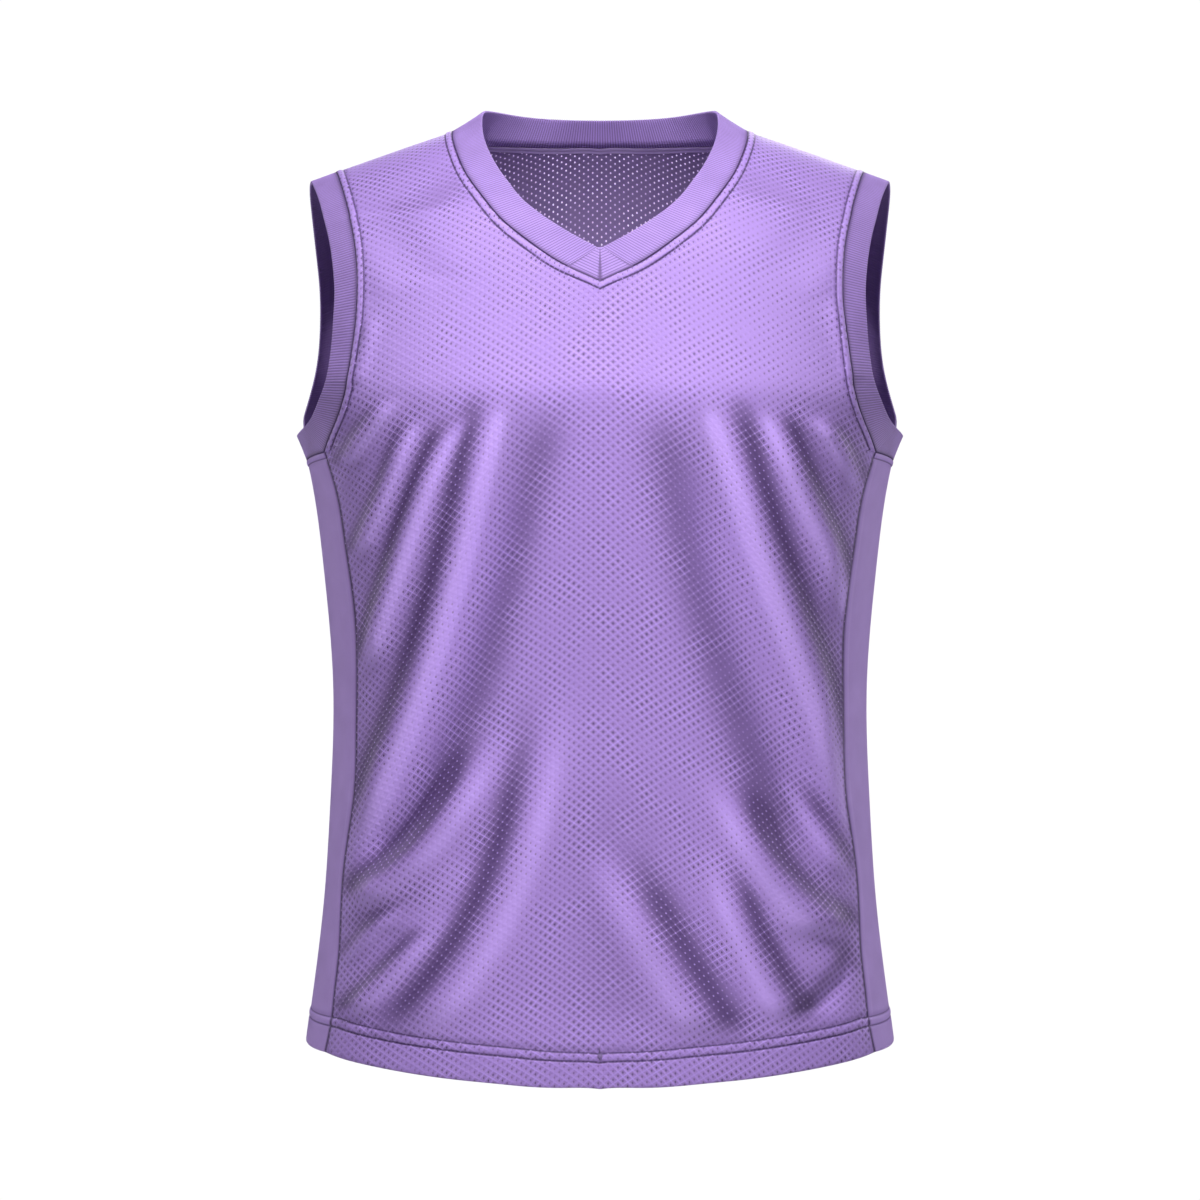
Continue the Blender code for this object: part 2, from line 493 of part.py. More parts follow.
# A narrow tape inside the back neck seam, laid on the back panel's own points.
rows = slice(-len(RIM_BACK_NECK), None)
columns = slice(neck_column, back_p.shape[1] - neck_column)
p, n = back_p[rows, columns].copy(), back_n[rows, columns]
p[-1] += (p[-2] - p[-1]) * 0.18
deep = MESH_WALL / 2 + 0.0003
shell("neck_tape", p - n * deep, p - n * (deep + TAPE_WALL), "tape")
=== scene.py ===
"""A sleeveless V-neck mesh jersey, filled out as if worn, on a plain pale ground."""

import bmesh
import bpy
import mathutils
import numpy as np
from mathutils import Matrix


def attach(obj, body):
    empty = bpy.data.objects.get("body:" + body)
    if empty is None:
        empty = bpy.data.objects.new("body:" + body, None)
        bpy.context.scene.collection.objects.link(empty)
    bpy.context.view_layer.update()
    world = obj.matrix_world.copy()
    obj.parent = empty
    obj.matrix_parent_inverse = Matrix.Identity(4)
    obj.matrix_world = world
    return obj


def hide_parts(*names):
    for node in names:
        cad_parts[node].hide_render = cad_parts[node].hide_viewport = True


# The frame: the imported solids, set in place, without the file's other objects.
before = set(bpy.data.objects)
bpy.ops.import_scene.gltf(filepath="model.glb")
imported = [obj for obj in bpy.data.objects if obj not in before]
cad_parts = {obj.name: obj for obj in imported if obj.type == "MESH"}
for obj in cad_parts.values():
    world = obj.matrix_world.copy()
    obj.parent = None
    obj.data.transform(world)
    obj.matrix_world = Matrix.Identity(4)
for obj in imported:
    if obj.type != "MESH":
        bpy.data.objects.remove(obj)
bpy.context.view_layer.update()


# The studio: white surroundings and a pale floor where a wearer would stand. Two
# hard-edged lamps high at the sides each light their half of the front, a small
# one the inside of the neck, and soft lights shine from above and all round.
def add(name, data):
    """A new object in the scene."""
    obj = bpy.data.objects.new(name, data)
    bpy.context.scene.collection.objects.link(obj)
    return obj


world = bpy.data.worlds.new("studio")
bpy.context.scene.world = world
world.use_nodes = True
nodes, links = world.node_tree.nodes, world.node_tree.links
background = nodes["Background"]
background.inputs["Color"].default_value = (1, 1, 1, 1)
seen = nodes.new("ShaderNodeLightPath")
strength = nodes.new("ShaderNodeMix")
for socket, value in (("A", 0.06), ("B", 1.02)):  # as light on the cloth, and as seen
    strength.inputs[socket].default_value = value
links.new(seen.outputs["Is Camera Ray"], strength.inputs["Factor"])
links.new(strength.outputs["Result"], background.inputs["Strength"])

bm = bmesh.new()
bmesh.ops.create_circle(bm, cap_ends=True, radius=2.6, segments=96,
                        matrix=mathutils.Matrix.Translation((0, 0, -1.45)))
mesh = bpy.data.meshes.new("floor")
bm.to_mesh(mesh)
bm.free()
floor = add("floor", mesh)
pale = bpy.data.materials.new("pale_floor")
pale.use_nodes = True
matt = pale.node_tree.nodes["Principled BSDF"].inputs
matt["Base Color"].default_value = (0.82, 0.82, 0.83, 1)
matt["Roughness"].default_value = 0.7
mesh.materials.append(pale)


def hang(name, kind, place_m, aim, power):
    """A light of one kind at a place in metres, turned to its aim."""
    light = bpy.data.lights.new(name, kind)
    light.energy = power
    lamp = add(name, light)
    lamp.location = place_m
    lamp.rotation_euler = (mathutils.Vector(aim) - lamp.location).to_track_quat("-Z", "Y").to_euler()
    return light


KEY, KEY_CONE, LAMP_RADIUS = 244, 1.2235, 0.12
for name, place_m, aim, cone, softness, power in (
        ("key_right", (1.33, -1.58, 1.32), (-0.88, -1.28, -0.02), KEY_CONE, 0.16, KEY),
        ("key_left", (-1.33, -1.58, 1.32), (0.88, -1.28, -0.02), KEY_CONE, 0.16, KEY),
        ("neck", (0.0, -1.6, 0.9), (0.0, 0.06, -0.02), 0.11, 0.5, 148)):
    light = hang(name, "SPOT", place_m, aim, power)
    light.spot_size, light.spot_blend, light.shadow_soft_size = cone, softness, LAMP_RADIUS
for name, place_m, aim, size, power in (
        ("above", (0.0, -1.2, 2.4), (0.0, 0.0, -0.1), (2.4, 0.8), 40),
        ("front", (0.0, -2.4, 0.3), (0.0, -0.1, -0.35), (1.6, 0.7), 3.5),
        ("side_right", (2.0, 0.7, 0.2), (0.2, 0.0, -0.4), (0.8, 1.4), 14),
        ("side_left", (-2.0, 0.7, 0.2), (-0.2, 0.0, -0.4), (0.8, 1.4), 11),
        ("back", (0.3, 2.2, 1.1), (0.0, 0.1, -0.3), (1.8, 1.0), 28)):
    light = hang(name, "AREA", place_m, aim, power)
    light.shape = "RECTANGLE"
    light.size, light.size_y = size

# The camera: level, at mid-body height, 2.4 m in front of the shoulders.
lens = bpy.data.cameras.new("camera")
lens.sensor_width, lens.lens = 36, 96
camera = add("camera", lens)
camera.location, camera.rotation_euler = (0, -2.4, -0.354), (np.pi / 2, 0, 0)
bpy.context.scene.camera = camera
bpy.context.scene.view_settings.view_transform = "Standard"


# The front panel: perforated polyester mesh knit, cut in one piece from the hem to
# the shoulders with a V neckline, and topstitched at the hem and beside the rib.
# Its surface is one body form, with the creases of a worn jersey added.

# The body form, one row per level section: height, half width, depth in front and
# behind. A section is a squared oval, and the shoulders slope away from the neck.
FORM = np.array([
    (-0.740, 0.2250, 0.1350, 0.1230),
    (-0.684, 0.2182, 0.1305, 0.1180),
    (-0.580, 0.2052, 0.1225, 0.1080),
    (-0.500, 0.2000, 0.1195, 0.1000),
    (-0.420, 0.1980, 0.1205, 0.0970),
    (-0.330, 0.2050, 0.1280, 0.1010),
    (-0.255, 0.2160, 0.1362, 0.1100),
    (-0.219, 0.2266, 0.1396, 0.1142),
    (-0.205, 0.2315, 0.1398, 0.1160),
    (-0.192, 0.2335, 0.1376, 0.1172),
    (-0.130, 0.2395, 0.1232, 0.1200),
    (-0.060, 0.2430, 0.1035, 0.1140),
    (0.000, 0.2450, 0.0850, 0.1060),
    (0.050, 0.2450, 0.0750, 0.0900),
])
CREST_TOP = 0.0368  # shoulder line carried to the middle, before rounding
CREST_SLOPE = 0.357
CREST_ROUND = 0.030
SHOULDER = 0.120  # height over which a shoulder rounds to full depth
SQUARE = 2.9  # how square a level section is
FRONT, BACK = 1, -1

# Hem, from the side seam to the middle: x, z.
HEM = np.array([
    (-0.1986, -0.6820), (-0.1925, -0.6834), (-0.1715, -0.6868), (-0.1432, -0.6905),
    (-0.1025, -0.6949), (-0.0732, -0.6973), (-0.0277, -0.6999), (0.0000, -0.7007),
])

# Side seam of the front and of the back: x, z from the hem up to the underarm.
SIDE_SEAM = np.array([
    (-0.1986, -0.6820), (-0.1948, -0.6640), (-0.1922, -0.6390), (-0.1892, -0.6120),
    (-0.1880, -0.5830), (-0.1858, -0.5480), (-0.1822, -0.5230), (-0.1780, -0.4960),
    (-0.1764, -0.4560), (-0.1758, -0.4150), (-0.1760, -0.3800), (-0.1790, -0.3460),
    (-0.1838, -0.3140), (-0.1885, -0.2830), (-0.1990, -0.2470),
])
# Armhole from the underarm up to the shoulder: seam x, z and free edge x, z.
ARM_FRONT = np.array([
    (-0.1990, -0.2470, -0.2168, -0.2280), (-0.1952, -0.2379, -0.2098, -0.2222),
    (-0.1885, -0.2240, -0.2022, -0.2086), (-0.1828, -0.2085, -0.1968, -0.1948),
    (-0.1793, -0.1930, -0.1943, -0.1806), (-0.1770, -0.1760, -0.1927, -0.1662),
    (-0.1752, -0.1600, -0.1919, -0.1517), (-0.1740, -0.1400, -0.1914, -0.1369),
    (-0.1742, -0.1220, -0.1922, -0.1219), (-0.1756, -0.1050, -0.1943, -0.1067),
    (-0.1784, -0.0900, -0.1975, -0.0911), (-0.1822, -0.0750, -0.2023, -0.0750),
    (-0.1868, -0.0590, -0.2077, -0.0584), (-0.1922, -0.0440, -0.2136, -0.0458),
])
TIP_SEAM = -0.1984  # where that seam crosses the shoulder

NECK_SIDE = -0.1099  # where the shoulder seam meets the collar
# Neckline from the side of the neck to the point of the V: seam x, z.
NECK_FRONT = np.array([
    (-0.1095, -0.0120), (-0.1055, -0.0260), (-0.1000, -0.0395), (-0.0930, -0.0520),
    (-0.0837, -0.0653), (-0.0711, -0.0811), (-0.0580, -0.0927), (-0.0436, -0.1038),
    (-0.0260, -0.1152), (0.0000, -0.1275),
])
INSERT_LENGTH = 0.0276  # seam of each V insert, from the point of the V
INSERT_STEPS = 10

CLOTH = 0.0014  # thickness of the knit
# Hem, and seam allowance beside the rib: rows of the mesh by their distance in from
# the edge, how far each is raised, and its painted shade (below 0, painted light).
HEM_ROWS = np.array([
    0, 8, 24, 60, 100, 140, 164, 172, 177, 182, 187, 194, 203, 213, 223, 232, 239, 244, 249]) * 1e-4
HEM_RAISED = np.array([-4, 3, 5, 5, 5, 5, 5, 4, -1, -3, 0, 5, 7, 8, 7, 5, 0, -3, 0]) * 1e-4
HEM_CREASE = np.array([40, 0, 0, 0, 0, 0, 0, 5, 55, 100, 50, 0, 0, 0, 0, 5, 60, 100, 15]) / 100
RIM = np.array([0, 6, 16, 28, 38, 45, 50, 56]) * 1e-4
RIM_RAISED = np.array([0, 6, 8, 8, 7, 3, -3, 0]) * 1e-4
RIM_CREASE = np.array([100, 25, -40, -40, -20, 60, 95, 10]) / 100
# Darkness in the rows by a side seam: its dark line, partly painted shadow.
SEAM_CREASE = np.array([1.0, 0.70, 0.0])
HEM_SEWN, RIM_SEWN = (9, 17), 6  # the rows that the topstitching follows
# Folds: one row each. The crest's four points x, z from its upper end to its lower
# one, its widths towards -x and towards +x, and its height (negative for a trough).
FOLDS = {FRONT: np.array([
    (-0.058, -0.230, -0.087, -0.347, -0.122, -0.451, -0.180, -0.555, 0.014, 0.020, -0.0100),
    (-0.077, -0.220, -0.103, -0.326, -0.132, -0.419, -0.185, -0.536, 0.013, 0.014, 0.0070),
    (-0.105, -0.232, -0.125, -0.276, -0.143, -0.326, -0.170, -0.402, 0.009, 0.010, 0.0065),
    (-0.134, -0.230, -0.146, -0.259, -0.159, -0.290, -0.176, -0.322, 0.007, 0.008, 0.0046),
    (-0.149, -0.212, -0.160, -0.226, -0.172, -0.241, -0.184, -0.257, 0.007, 0.008, 0.0042),
    (-0.077, -0.450, -0.109, -0.508, -0.142, -0.545, -0.184, -0.576, 0.013, 0.016, 0.0090),
    (-0.034, -0.425, -0.053, -0.518, -0.085, -0.596, -0.133, -0.661, 0.016, 0.021, 0.0085),
    (-0.139, -0.569, -0.154, -0.584, -0.170, -0.599, -0.187, -0.616, 0.006, 0.006, 0.0034),
    (-0.114, -0.579, -0.133, -0.604, -0.155, -0.628, -0.180, -0.652, 0.008, 0.009, 0.0060),
    (0.069, -0.234, 0.091, -0.340, 0.119, -0.429, 0.160, -0.534, 0.023, 0.017, -0.0090),
    (0.086, -0.221, 0.120, -0.325, 0.152, -0.412, 0.191, -0.528, 0.016, 0.014, 0.0080),
    (0.123, -0.225, 0.141, -0.270, 0.164, -0.320, 0.186, -0.370, 0.011, 0.011, 0.0070),
    (0.155, -0.224, 0.166, -0.240, 0.176, -0.255, 0.188, -0.273, 0.007, 0.008, 0.0046),
    (0.083, -0.479, 0.113, -0.538, 0.143, -0.573, 0.175, -0.595, 0.016, 0.014, 0.0090),
    (0.136, -0.480, 0.150, -0.504, 0.164, -0.529, 0.181, -0.554, 0.008, 0.009, 0.0050),
    (0.009, -0.532, 0.028, -0.578, 0.051, -0.619, 0.077, -0.661, 0.020, 0.017, 0.0085),
    (0.083, -0.532, 0.097, -0.579, 0.114, -0.616, 0.134, -0.652, 0.014, 0.013, 0.0065),
    (0.190, -0.595, 0.181, -0.616, 0.168, -0.634, 0.153, -0.650, 0.009, 0.009, -0.0044),
    (-0.162, -0.152, -0.165, -0.166, -0.169, -0.182, -0.175, -0.200, 0.006, 0.006, 0.0024),
    (0.166, -0.139, 0.170, -0.157, 0.175, -0.177, 0.179, -0.197, 0.006, 0.006, 0.0020),
    (-0.168, -0.062, -0.156, -0.082, -0.141, -0.104, -0.123, -0.126, 0.015, 0.015, -0.0010),
    (-0.176, -0.091, -0.167, -0.106, -0.158, -0.122, -0.148, -0.138, 0.010, 0.010, 0.0005),
    (0.168, -0.060, 0.158, -0.080, 0.144, -0.101, 0.128, -0.122, 0.014, 0.014, -0.0007),
    (0.178, -0.094, 0.169, -0.108, 0.160, -0.123, 0.150, -0.138, 0.010, 0.010, 0.0005),
    (-0.106, -0.034, -0.124, -0.047, -0.142, -0.060, -0.160, -0.074, 0.020, 0.020, -0.0022),
    (0.112, -0.036, 0.128, -0.047, 0.144, -0.058, 0.160, -0.069, 0.018, 0.018, -0.0014),
    (-0.030, -0.470, -0.032, -0.530, -0.034, -0.590, -0.036, -0.655, 0.045, 0.045, -0.0018),
    (-0.106, -0.533, -0.117, -0.554, -0.131, -0.574, -0.149, -0.592, 0.016, 0.022, 0.0016),
    (0.130, -0.566, 0.143, -0.586, 0.157, -0.605, 0.172, -0.624, 0.022, 0.012, 0.0016),
])}
CHEST = -0.4  # a fold that begins above this hangs from the chest
# Shares of a fold's length over which its form and its painted shade rise, each for
# one from the chest and one from below it.
FORM_RISE, SHADE_RISE = (0.34, 0.62), (0.14, 0.45)
SHADE_START = 0.014  # least height over which a painted shade rises
LEAD, LAST, DYING = 0.08, 1.06, 0.16  # how early a fold starts, where it ends, its fall
# Where a fold's painted shade and painted highlight lie, in its own widths from its crest.
DARK_AT, DARK_WIDE, LIGHT_AT, LIGHT_WIDE = 1.0, 0.76, 0.45, 0.5
FOLD_DARK, TROUGH_DARK = 0.70, 0.60  # darkest painted shade on a ridge's slope, and on a trough's
SLOPE_LIGHT, LOW_LIGHT = 1.25, 0.7  # painted highlight on a ridge's slope, and its share for a fold from below the chest
LIGHT_FROM = -0.205  # painted highlight is put only below this height
DEEPEST = 0.0065  # a fold this high gets its full painted shade
# The share of the half width where folds, and then their painted shade, end, and over how much of it they do.
FORM_END, SHADE_END = (0.90, 0.11), (0.95, 0.08)


def spline(rows):
    """Natural cubic through rows of (place, value...), as a function of place."""
    s, v = rows[:, 0], rows[:, 1:]
    n, h = len(s), np.diff(s)
    a, r = np.eye(n), np.zeros_like(v)
    for i in range(1, n - 1):
        a[i, i - 1:i + 2] = h[i - 1], 2 * (h[i - 1] + h[i]), h[i]
        r[i] = 6 * ((v[i + 1] - v[i]) / h[i] - (v[i] - v[i - 1]) / h[i - 1])
    m = np.linalg.solve(a, r)

    def at(x):
        x = np.asarray(x, float)
        i = np.clip(np.searchsorted(s, x) - 1, 0, n - 2)
        t, w = (x - s[i])[..., None], h[i][..., None]
        slope = (v[i + 1] - v[i]) / w - w * (2 * m[i] + m[i + 1]) / 6
        return v[i] + t * (slope + t * (m[i] / 2 + t * (m[i + 1] - m[i]) / (6 * w)))
    return at


def run_of(points):
    """The length of a line of points up to each of them."""
    return np.concatenate([[0], np.cumsum(np.linalg.norm(np.diff(points, axis=0), axis=1))])


def along(points, places):
    """A smooth curve through points, read at fractions of its length."""
    s = run_of(points)
    curve = spline(np.column_stack([s, points]))
    fine = np.linspace(0, s[-1], 400)
    run = run_of(curve(fine))
    return curve(np.interp(np.asarray(places) * run[-1], run, fine))


form = spline(FORM)


def crest(x):
    """Height of the shoulder line at x."""
    return CREST_TOP - CREST_SLOPE * np.sqrt(x * x + CREST_ROUND ** 2)


def smooth(share):
    """A share from 0 to 1 with soft ends."""
    return share * share * (3 - 2 * share)


def fold_lines(x, z, side, rises, least=0):
    """Each fold at x, z: distance from its crest, how far it has risen, and its row."""
    for row in FOLDS[side]:
        path = np.polyfit(row[1:8:2], row[0:8:2], 3)
        t = (z - row[1]) / (row[7] - row[1])
        line, lean = np.polyval(path, z), np.polyval(np.polyder(path), z)
        d = (x - line) / np.sqrt(1 + np.clip(lean, -3, 3) ** 2)
        share = max(least / (row[1] - row[7]), rises[0] if row[1] > CHEST else rises[1])
        rise, fall = np.clip((t + LEAD) / share, 0, 1), np.clip((LAST - t) / DYING, 0, 1)
        yield d, smooth(rise) * smooth(fall), row


def fade(x, z, end, length):
    """Folds die out towards the side seams: 1 well inside them, 0 at the end."""
    return smooth(np.clip((end - np.abs(x) / form(z)[..., 0]) / length, 0, 1))


def fold_height(x, z, side):
    """How far the folds lift the cloth at x, z of the front or the back."""
    total = np.zeros(np.broadcast(x, z).shape)
    for d, risen, (*_, left, right, height) in fold_lines(x, z, side, FORM_RISE):
        total += height * risen * np.exp(-(d / np.where(d < 0, left, right)) ** 2)
    return total * fade(x, z, *FORM_END)


def fold_shade(x, z, side):
    """Painted shade and highlight for the folds: painted shade up to FOLD_DARK on a slope
    turned away from the middle, and low down painted highlight, to -1 at most, on one turned towards it."""
    total = np.zeros(np.broadcast(x, z).shape)
    low = np.clip((LIGHT_FROM - z) / 0.02, 0, 1)
    for d, risen, (middle, top, *_, left, right, height) in fold_lines(x, z, side, SHADE_RISE, SHADE_START):
        outer, inner = (-left, right) if middle < 0 else (right, -left)
        if height < 0:
            outer, inner = inner, outer
        strong = min(abs(height) / DEEPEST, 1) ** 0.7 * risen * (1 if height > 0 else TROUGH_DARK)
        total += strong * np.exp(-((d / outer - DARK_AT) / DARK_WIDE) ** 2)
        if height > 0:
            painted_highlight = SLOPE_LIGHT * (1 if top > CHEST else LOW_LIGHT) * low * strong
            total -= painted_highlight * np.exp(-((d / inner - LIGHT_AT) / LIGHT_WIDE) ** 2)
    total = np.where(total > 0, FOLD_DARK * total, total)
    return np.clip(total, -1, FOLD_DARK) * fade(x, z, *SHADE_END)


# Painted light on the sides of the chest: its strength, and the heights between which it lies.
PAINTED_CHEST_LIGHT, CHEST_LIGHT_LOW, CHEST_LIGHT_HIGH = 0.40, -0.228, -0.055


def painted_chest_light(x, z):
    """The painted light that brightens the cloth: its full strength at the sides of the
    chest, and none down the middle, below the chest and on the shoulders."""
    above, below, aside = (np.clip(share, 0, 1) for share in (
        (z - CHEST_LIGHT_LOW) / 0.03, (CHEST_LIGHT_HIGH - z) / 0.06, np.abs(x) / 0.15))
    return PAINTED_CHEST_LIGHT * smooth(above) * below * aside


def bulge(share):
    """How much of its depth a level section has at a share of its half width."""
    return np.clip(1 - np.abs(share) ** SQUARE, 1e-9, None) ** (1 / SQUARE)


def place(x, v, side):
    """The form at x, and v up the cloth from the shoulder line (v <= 0)."""
    quarter = SHOULDER * np.pi / 2
    turn = np.clip(-v / SHOULDER, -np.pi / 2, np.pi / 2)
    z = crest(x) - SHOULDER * (1 - np.cos(turn)) - np.clip(-v - quarter, 0, None)
    half, front, back = np.moveaxis(form(z), -1, 0)
    depth = front if side == FRONT else back
    return np.stack([x, -side * depth * np.sin(turn) * bulge(x / half), z], -1)


def lay(points):
    """x, z of the front or back turned to x and v up the cloth."""
    x, z = points[..., 0], points[..., 1]
    h = np.clip(crest(x) - z, 0, None)
    v = np.where(h < SHOULDER, -SHOULDER * np.arccos(np.clip(1 - h / SHOULDER, -1, 1)),
                 SHOULDER * (1 - np.pi / 2) - h)
    return np.stack([x, v], -1)


def unit(vectors):
    return vectors / np.linalg.norm(vectors, axis=-1, keepdims=True)


def outward(surface, a, b, flip):
    """Unit normals of a surface of two values, by small steps."""
    e = 2e-4
    return flip * unit(np.cross(surface(a + e, b) - surface(a - e, b), surface(a, b + e) - surface(a, b - e)))


def folded(x, v, side):
    """The form with its folds, read like place."""
    p = place(x, v, side)
    n = outward(lambda i, j: place(i, j, side), x, v, side)
    return p + n * fold_height(x, p[..., 2], side)[..., None]


def relax(core, rounds=900, small=60, finer=160, pull=0.8):
    """Evens out a grid inside its borders, coarse first, without folding it over."""
    rows, cols = core.shape[:2]
    if min(rows, cols) > small:
        half = relax(core[::2, ::2].copy(), rounds)
        core[2:-1:2, 2:-1:2] = half[1:-1, 1:-1]
        core[1:-1:2, 2:-1:2] = (core[:-2:2, 2:-1:2] + core[2::2, 2:-1:2]) / 2
        core[1:-1, 1:-1:2] = (core[1:-1, :-2:2] + core[1:-1, 2::2]) / 2
        rounds = finer
    for _ in range(rounds):
        across_step, up_step = core[1:-1, 2:] - core[1:-1, :-2], core[2:, 1:-1] - core[:-2, 1:-1]
        a, b, c = ((p * q).sum(-1, keepdims=True) for p, q in (
            (up_step, up_step), (across_step, up_step), (across_step, across_step)))
        twist = core[2:, 2:] - core[2:, :-2] - core[:-2, 2:] + core[:-2, :-2]
        even = (a * (core[1:-1, 2:] + core[1:-1, :-2]) + c * (core[2:, 1:-1] + core[:-2, 1:-1])
                - b * twist / 2) / (2 * (a + c))
        core[1:-1, 1:-1] += pull * (even - core[1:-1, 1:-1])
    return core


def inset(loop, gaps, corner=0.2):
    """A closed loop moved inwards, each of its segments by its own distance."""
    run = np.roll(loop, -1, 0) - loop
    n = unit(np.stack([-run[:, 1], run[:, 0]], -1))
    out = []
    for p, m, k, dm, dk in zip(loop, np.roll(n, 1, 0), n, np.roll(gaps, 1), gaps):
        if abs(m[0] * k[1] - m[1] * k[0]) > corner:
            out.append(p + np.linalg.solve(np.array([m, k]), [dm, dk]))
        else:
            out.append(p + unit(m + k) * (dm + dk) / 2)
    return np.array(out)


def fill(bottom, right, top, left, u=None, v=None):
    """A grid (rows up, columns across) between four border curves."""
    u = (np.linspace(0, 1, len(bottom)) if u is None else u)[None, :, None]
    v = (np.linspace(0, 1, len(left)) if v is None else v)[:, None, None]
    return ((1 - v) * bottom[None] + v * top[None] + (1 - u) * left[:, None] + u * right[:, None]
            - (1 - u) * ((1 - v) * bottom[0] + v * top[0]) - u * ((1 - v) * bottom[-1] + v * top[-1]))


def framed(bottom, right, top, left, low, rim):
    """A panel grid with border strips of constant width: low are distances in from
    the hem, and rim from the sides and the top."""
    rows, cols = len(left), len(bottom)
    kl, kr = len(low) - 1, len(rim) - 1
    loop = np.concatenate([bottom[:-1], right[:-1], top[:0:-1], left[:0:-1]])
    gaps = np.repeat([low[-1], rim[-1], rim[-1], rim[-1]], [cols - 1, rows - 1, cols - 1, rows - 1])
    ring = inset(loop, gaps)
    ring = np.concatenate([ring, ring[:1]])
    ib, ir = ring[:cols], ring[cols - 1:cols + rows - 1]
    it, il = ring[cols + rows - 2:2 * cols + rows - 2][::-1], ring[2 * cols + rows - 3:][::-1]
    across = [0, *range(kr + 1, cols - kr - 1), cols - 1]
    up = [0, *range(kl + 1, rows - kr - 1), rows - 1]
    grid = np.zeros((rows, cols, 2))
    grid[0], grid[-1], grid[:, 0], grid[:, -1] = bottom, top, left, right
    grid[kl:rows - kr, kr:cols - kr] = relax(fill(ib[across], ir[up], it[across], il[up]))
    ends = (grid, kl, low), (grid[:, ::-1], kl, low), (grid[::-1], kr, rim), (grid[::-1, ::-1], kr, rim)
    for turned, kj, strip in ends:
        f, inner = strip / strip[-1], turned[kj, kr:cols - kr]
        for j in range(1, kj):
            turned[j, kr:cols - kr] = turned[0, kr:cols - kr] * (1 - f[j]) + inner * f[j]
    f = rim / rim[-1]
    for turned in (grid[kl:rows - kr], grid[kl:rows - kr, ::-1]):
        for i in range(1, kr):
            turned[:, i] = turned[:, 0] * (1 - f[i]) + turned[:, kr] * f[i]
    for turned, kj, strip in ends:
        block = turned[:kj + 1, :kr + 1]
        block[:] = fill(block[0], block[:, -1], block[-1], block[:, 0], f, strip / strip[-1])
    return grid


def stations(length, start, count, end):
    """Places along an edge: set distances at both ends, even steps between."""
    even = np.linspace(start[-1], length - end[-1], count + 1)
    return np.concatenate([start[:-1], even, length - end[:-1][::-1]]) / length


def length_of(points):
    return run_of(along(points, np.linspace(0, 1, 300)))[-1]


def edge(points, start, count, end):
    """A smooth curve through points, read at its stations."""
    return along(points, stations(length_of(points), np.array(start), count, np.array(end)))


def mirrored(half):
    """A left-hand curve ending at x = 0, carried on to the right."""
    other = half[-2::-1].copy()
    other[:, 0] *= -1
    return np.concatenate([half, other])


MEASURED_FROM = -0.45  # height, up the cloth, at which its lengths are 0


def measured(surface, a, b, level=MEASURED_FROM, rows=240, cols=160, spare=0.004):
    """Lengths across and up the cloth at a, b, read from a table of the bare form."""
    across = np.linspace(a.min() - spare, a.max() + spare, cols)
    up = np.linspace(b.min() - spare, b.max() + spare, rows)
    p = surface(*np.meshgrid(across, up))
    s = np.cumsum(np.linalg.norm(np.diff(p, axis=1, prepend=p[:, :1]), axis=-1), 1)
    t = np.cumsum(np.linalg.norm(np.diff(p, axis=0, prepend=p[:1]), axis=-1), 0)
    s -= s[:, [np.abs(across).argmin()]]
    t -= t[[np.abs(up - level).argmin()]]
    i, j = np.interp(b, up, np.arange(rows)), np.interp(a, across, np.arange(cols))
    i0, j0 = np.minimum(i.astype(int), rows - 2), np.minimum(j.astype(int), cols - 2)
    fi, fj = i - i0, j - j0
    corners = ((0, 0, (1 - fi) * (1 - fj)), (0, 1, (1 - fi) * fj), (1, 0, fi * (1 - fj)), (1, 1, fi * fj))
    return np.stack([sum(w * m[i0 + di, j0 + dj] for di, dj, w in corners) for m in (s, t)], -1)


def cloth(name, points, uv, normal, materials, seams_and_painted_shade, thick=0.0, closed=False):
    """A grid of points as one piece of cloth, with its own lengths as its UV map.
    Its painted shade, given for each point, is 1 in a seam, less in a furrow, and below 0 where light is
    painted on it.
    Closed, the grid is a whole skin: its last row joins its first, and open ends
    are filled."""
    rows, cols = points.shape[:2]
    bm = bmesh.new()
    bmesh.ops.create_grid(bm, x_segments=cols - 1, y_segments=rows - 1, size=1)
    mesh = bpy.data.meshes.new(name)
    bm.to_mesh(mesh)
    bm.free()
    mesh.vertices.foreach_set("co", points.reshape(-1))
    corner = np.empty(len(mesh.loops), int)
    mesh.loops.foreach_get("vertex_index", corner)
    layer = mesh.uv_layers.new(name="lengths")
    layer.uv.foreach_set("vector", uv.reshape(-1, 2)[corner].reshape(-1))
    depth = mesh.attributes.new("seams_and_painted_shade", "FLOAT", "POINT")
    depth.data.foreach_set("value", np.broadcast_to(seams_and_painted_shade, (rows, cols)).reshape(-1))
    mesh.update()
    i = (rows // 2) * (cols - 1) + cols // 2
    if not closed and mesh.polygons[i].normal @ mathutils.Vector(normal[rows // 2, cols // 2]) < 0:
        mesh.flip_normals()
    bm = bmesh.new()
    bm.from_mesh(mesh)
    if closed:
        bmesh.ops.remove_doubles(bm, verts=bm.verts, dist=1e-6)
        bmesh.ops.holes_fill(bm, edges=bm.edges, sides=0)
        bmesh.ops.recalc_face_normals(bm, faces=bm.faces)
    for line in bm.edges:
        sizes = {len(face.verts) for face in line.link_faces}
        line.smooth = not line.is_boundary and len(sizes) == 1
    for face in bm.faces:
        face.smooth = True
    bm.to_mesh(mesh)
    bm.free()
    for material in materials:
        mesh.materials.append(material)
    obj = add(name, mesh)
    if thick:
        wall = obj.modifiers.new("wall", "SOLIDIFY")
        wall.thickness, wall.offset, wall.material_offset = thick, -1, len(materials) - 1
    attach(obj, "root")
    return obj


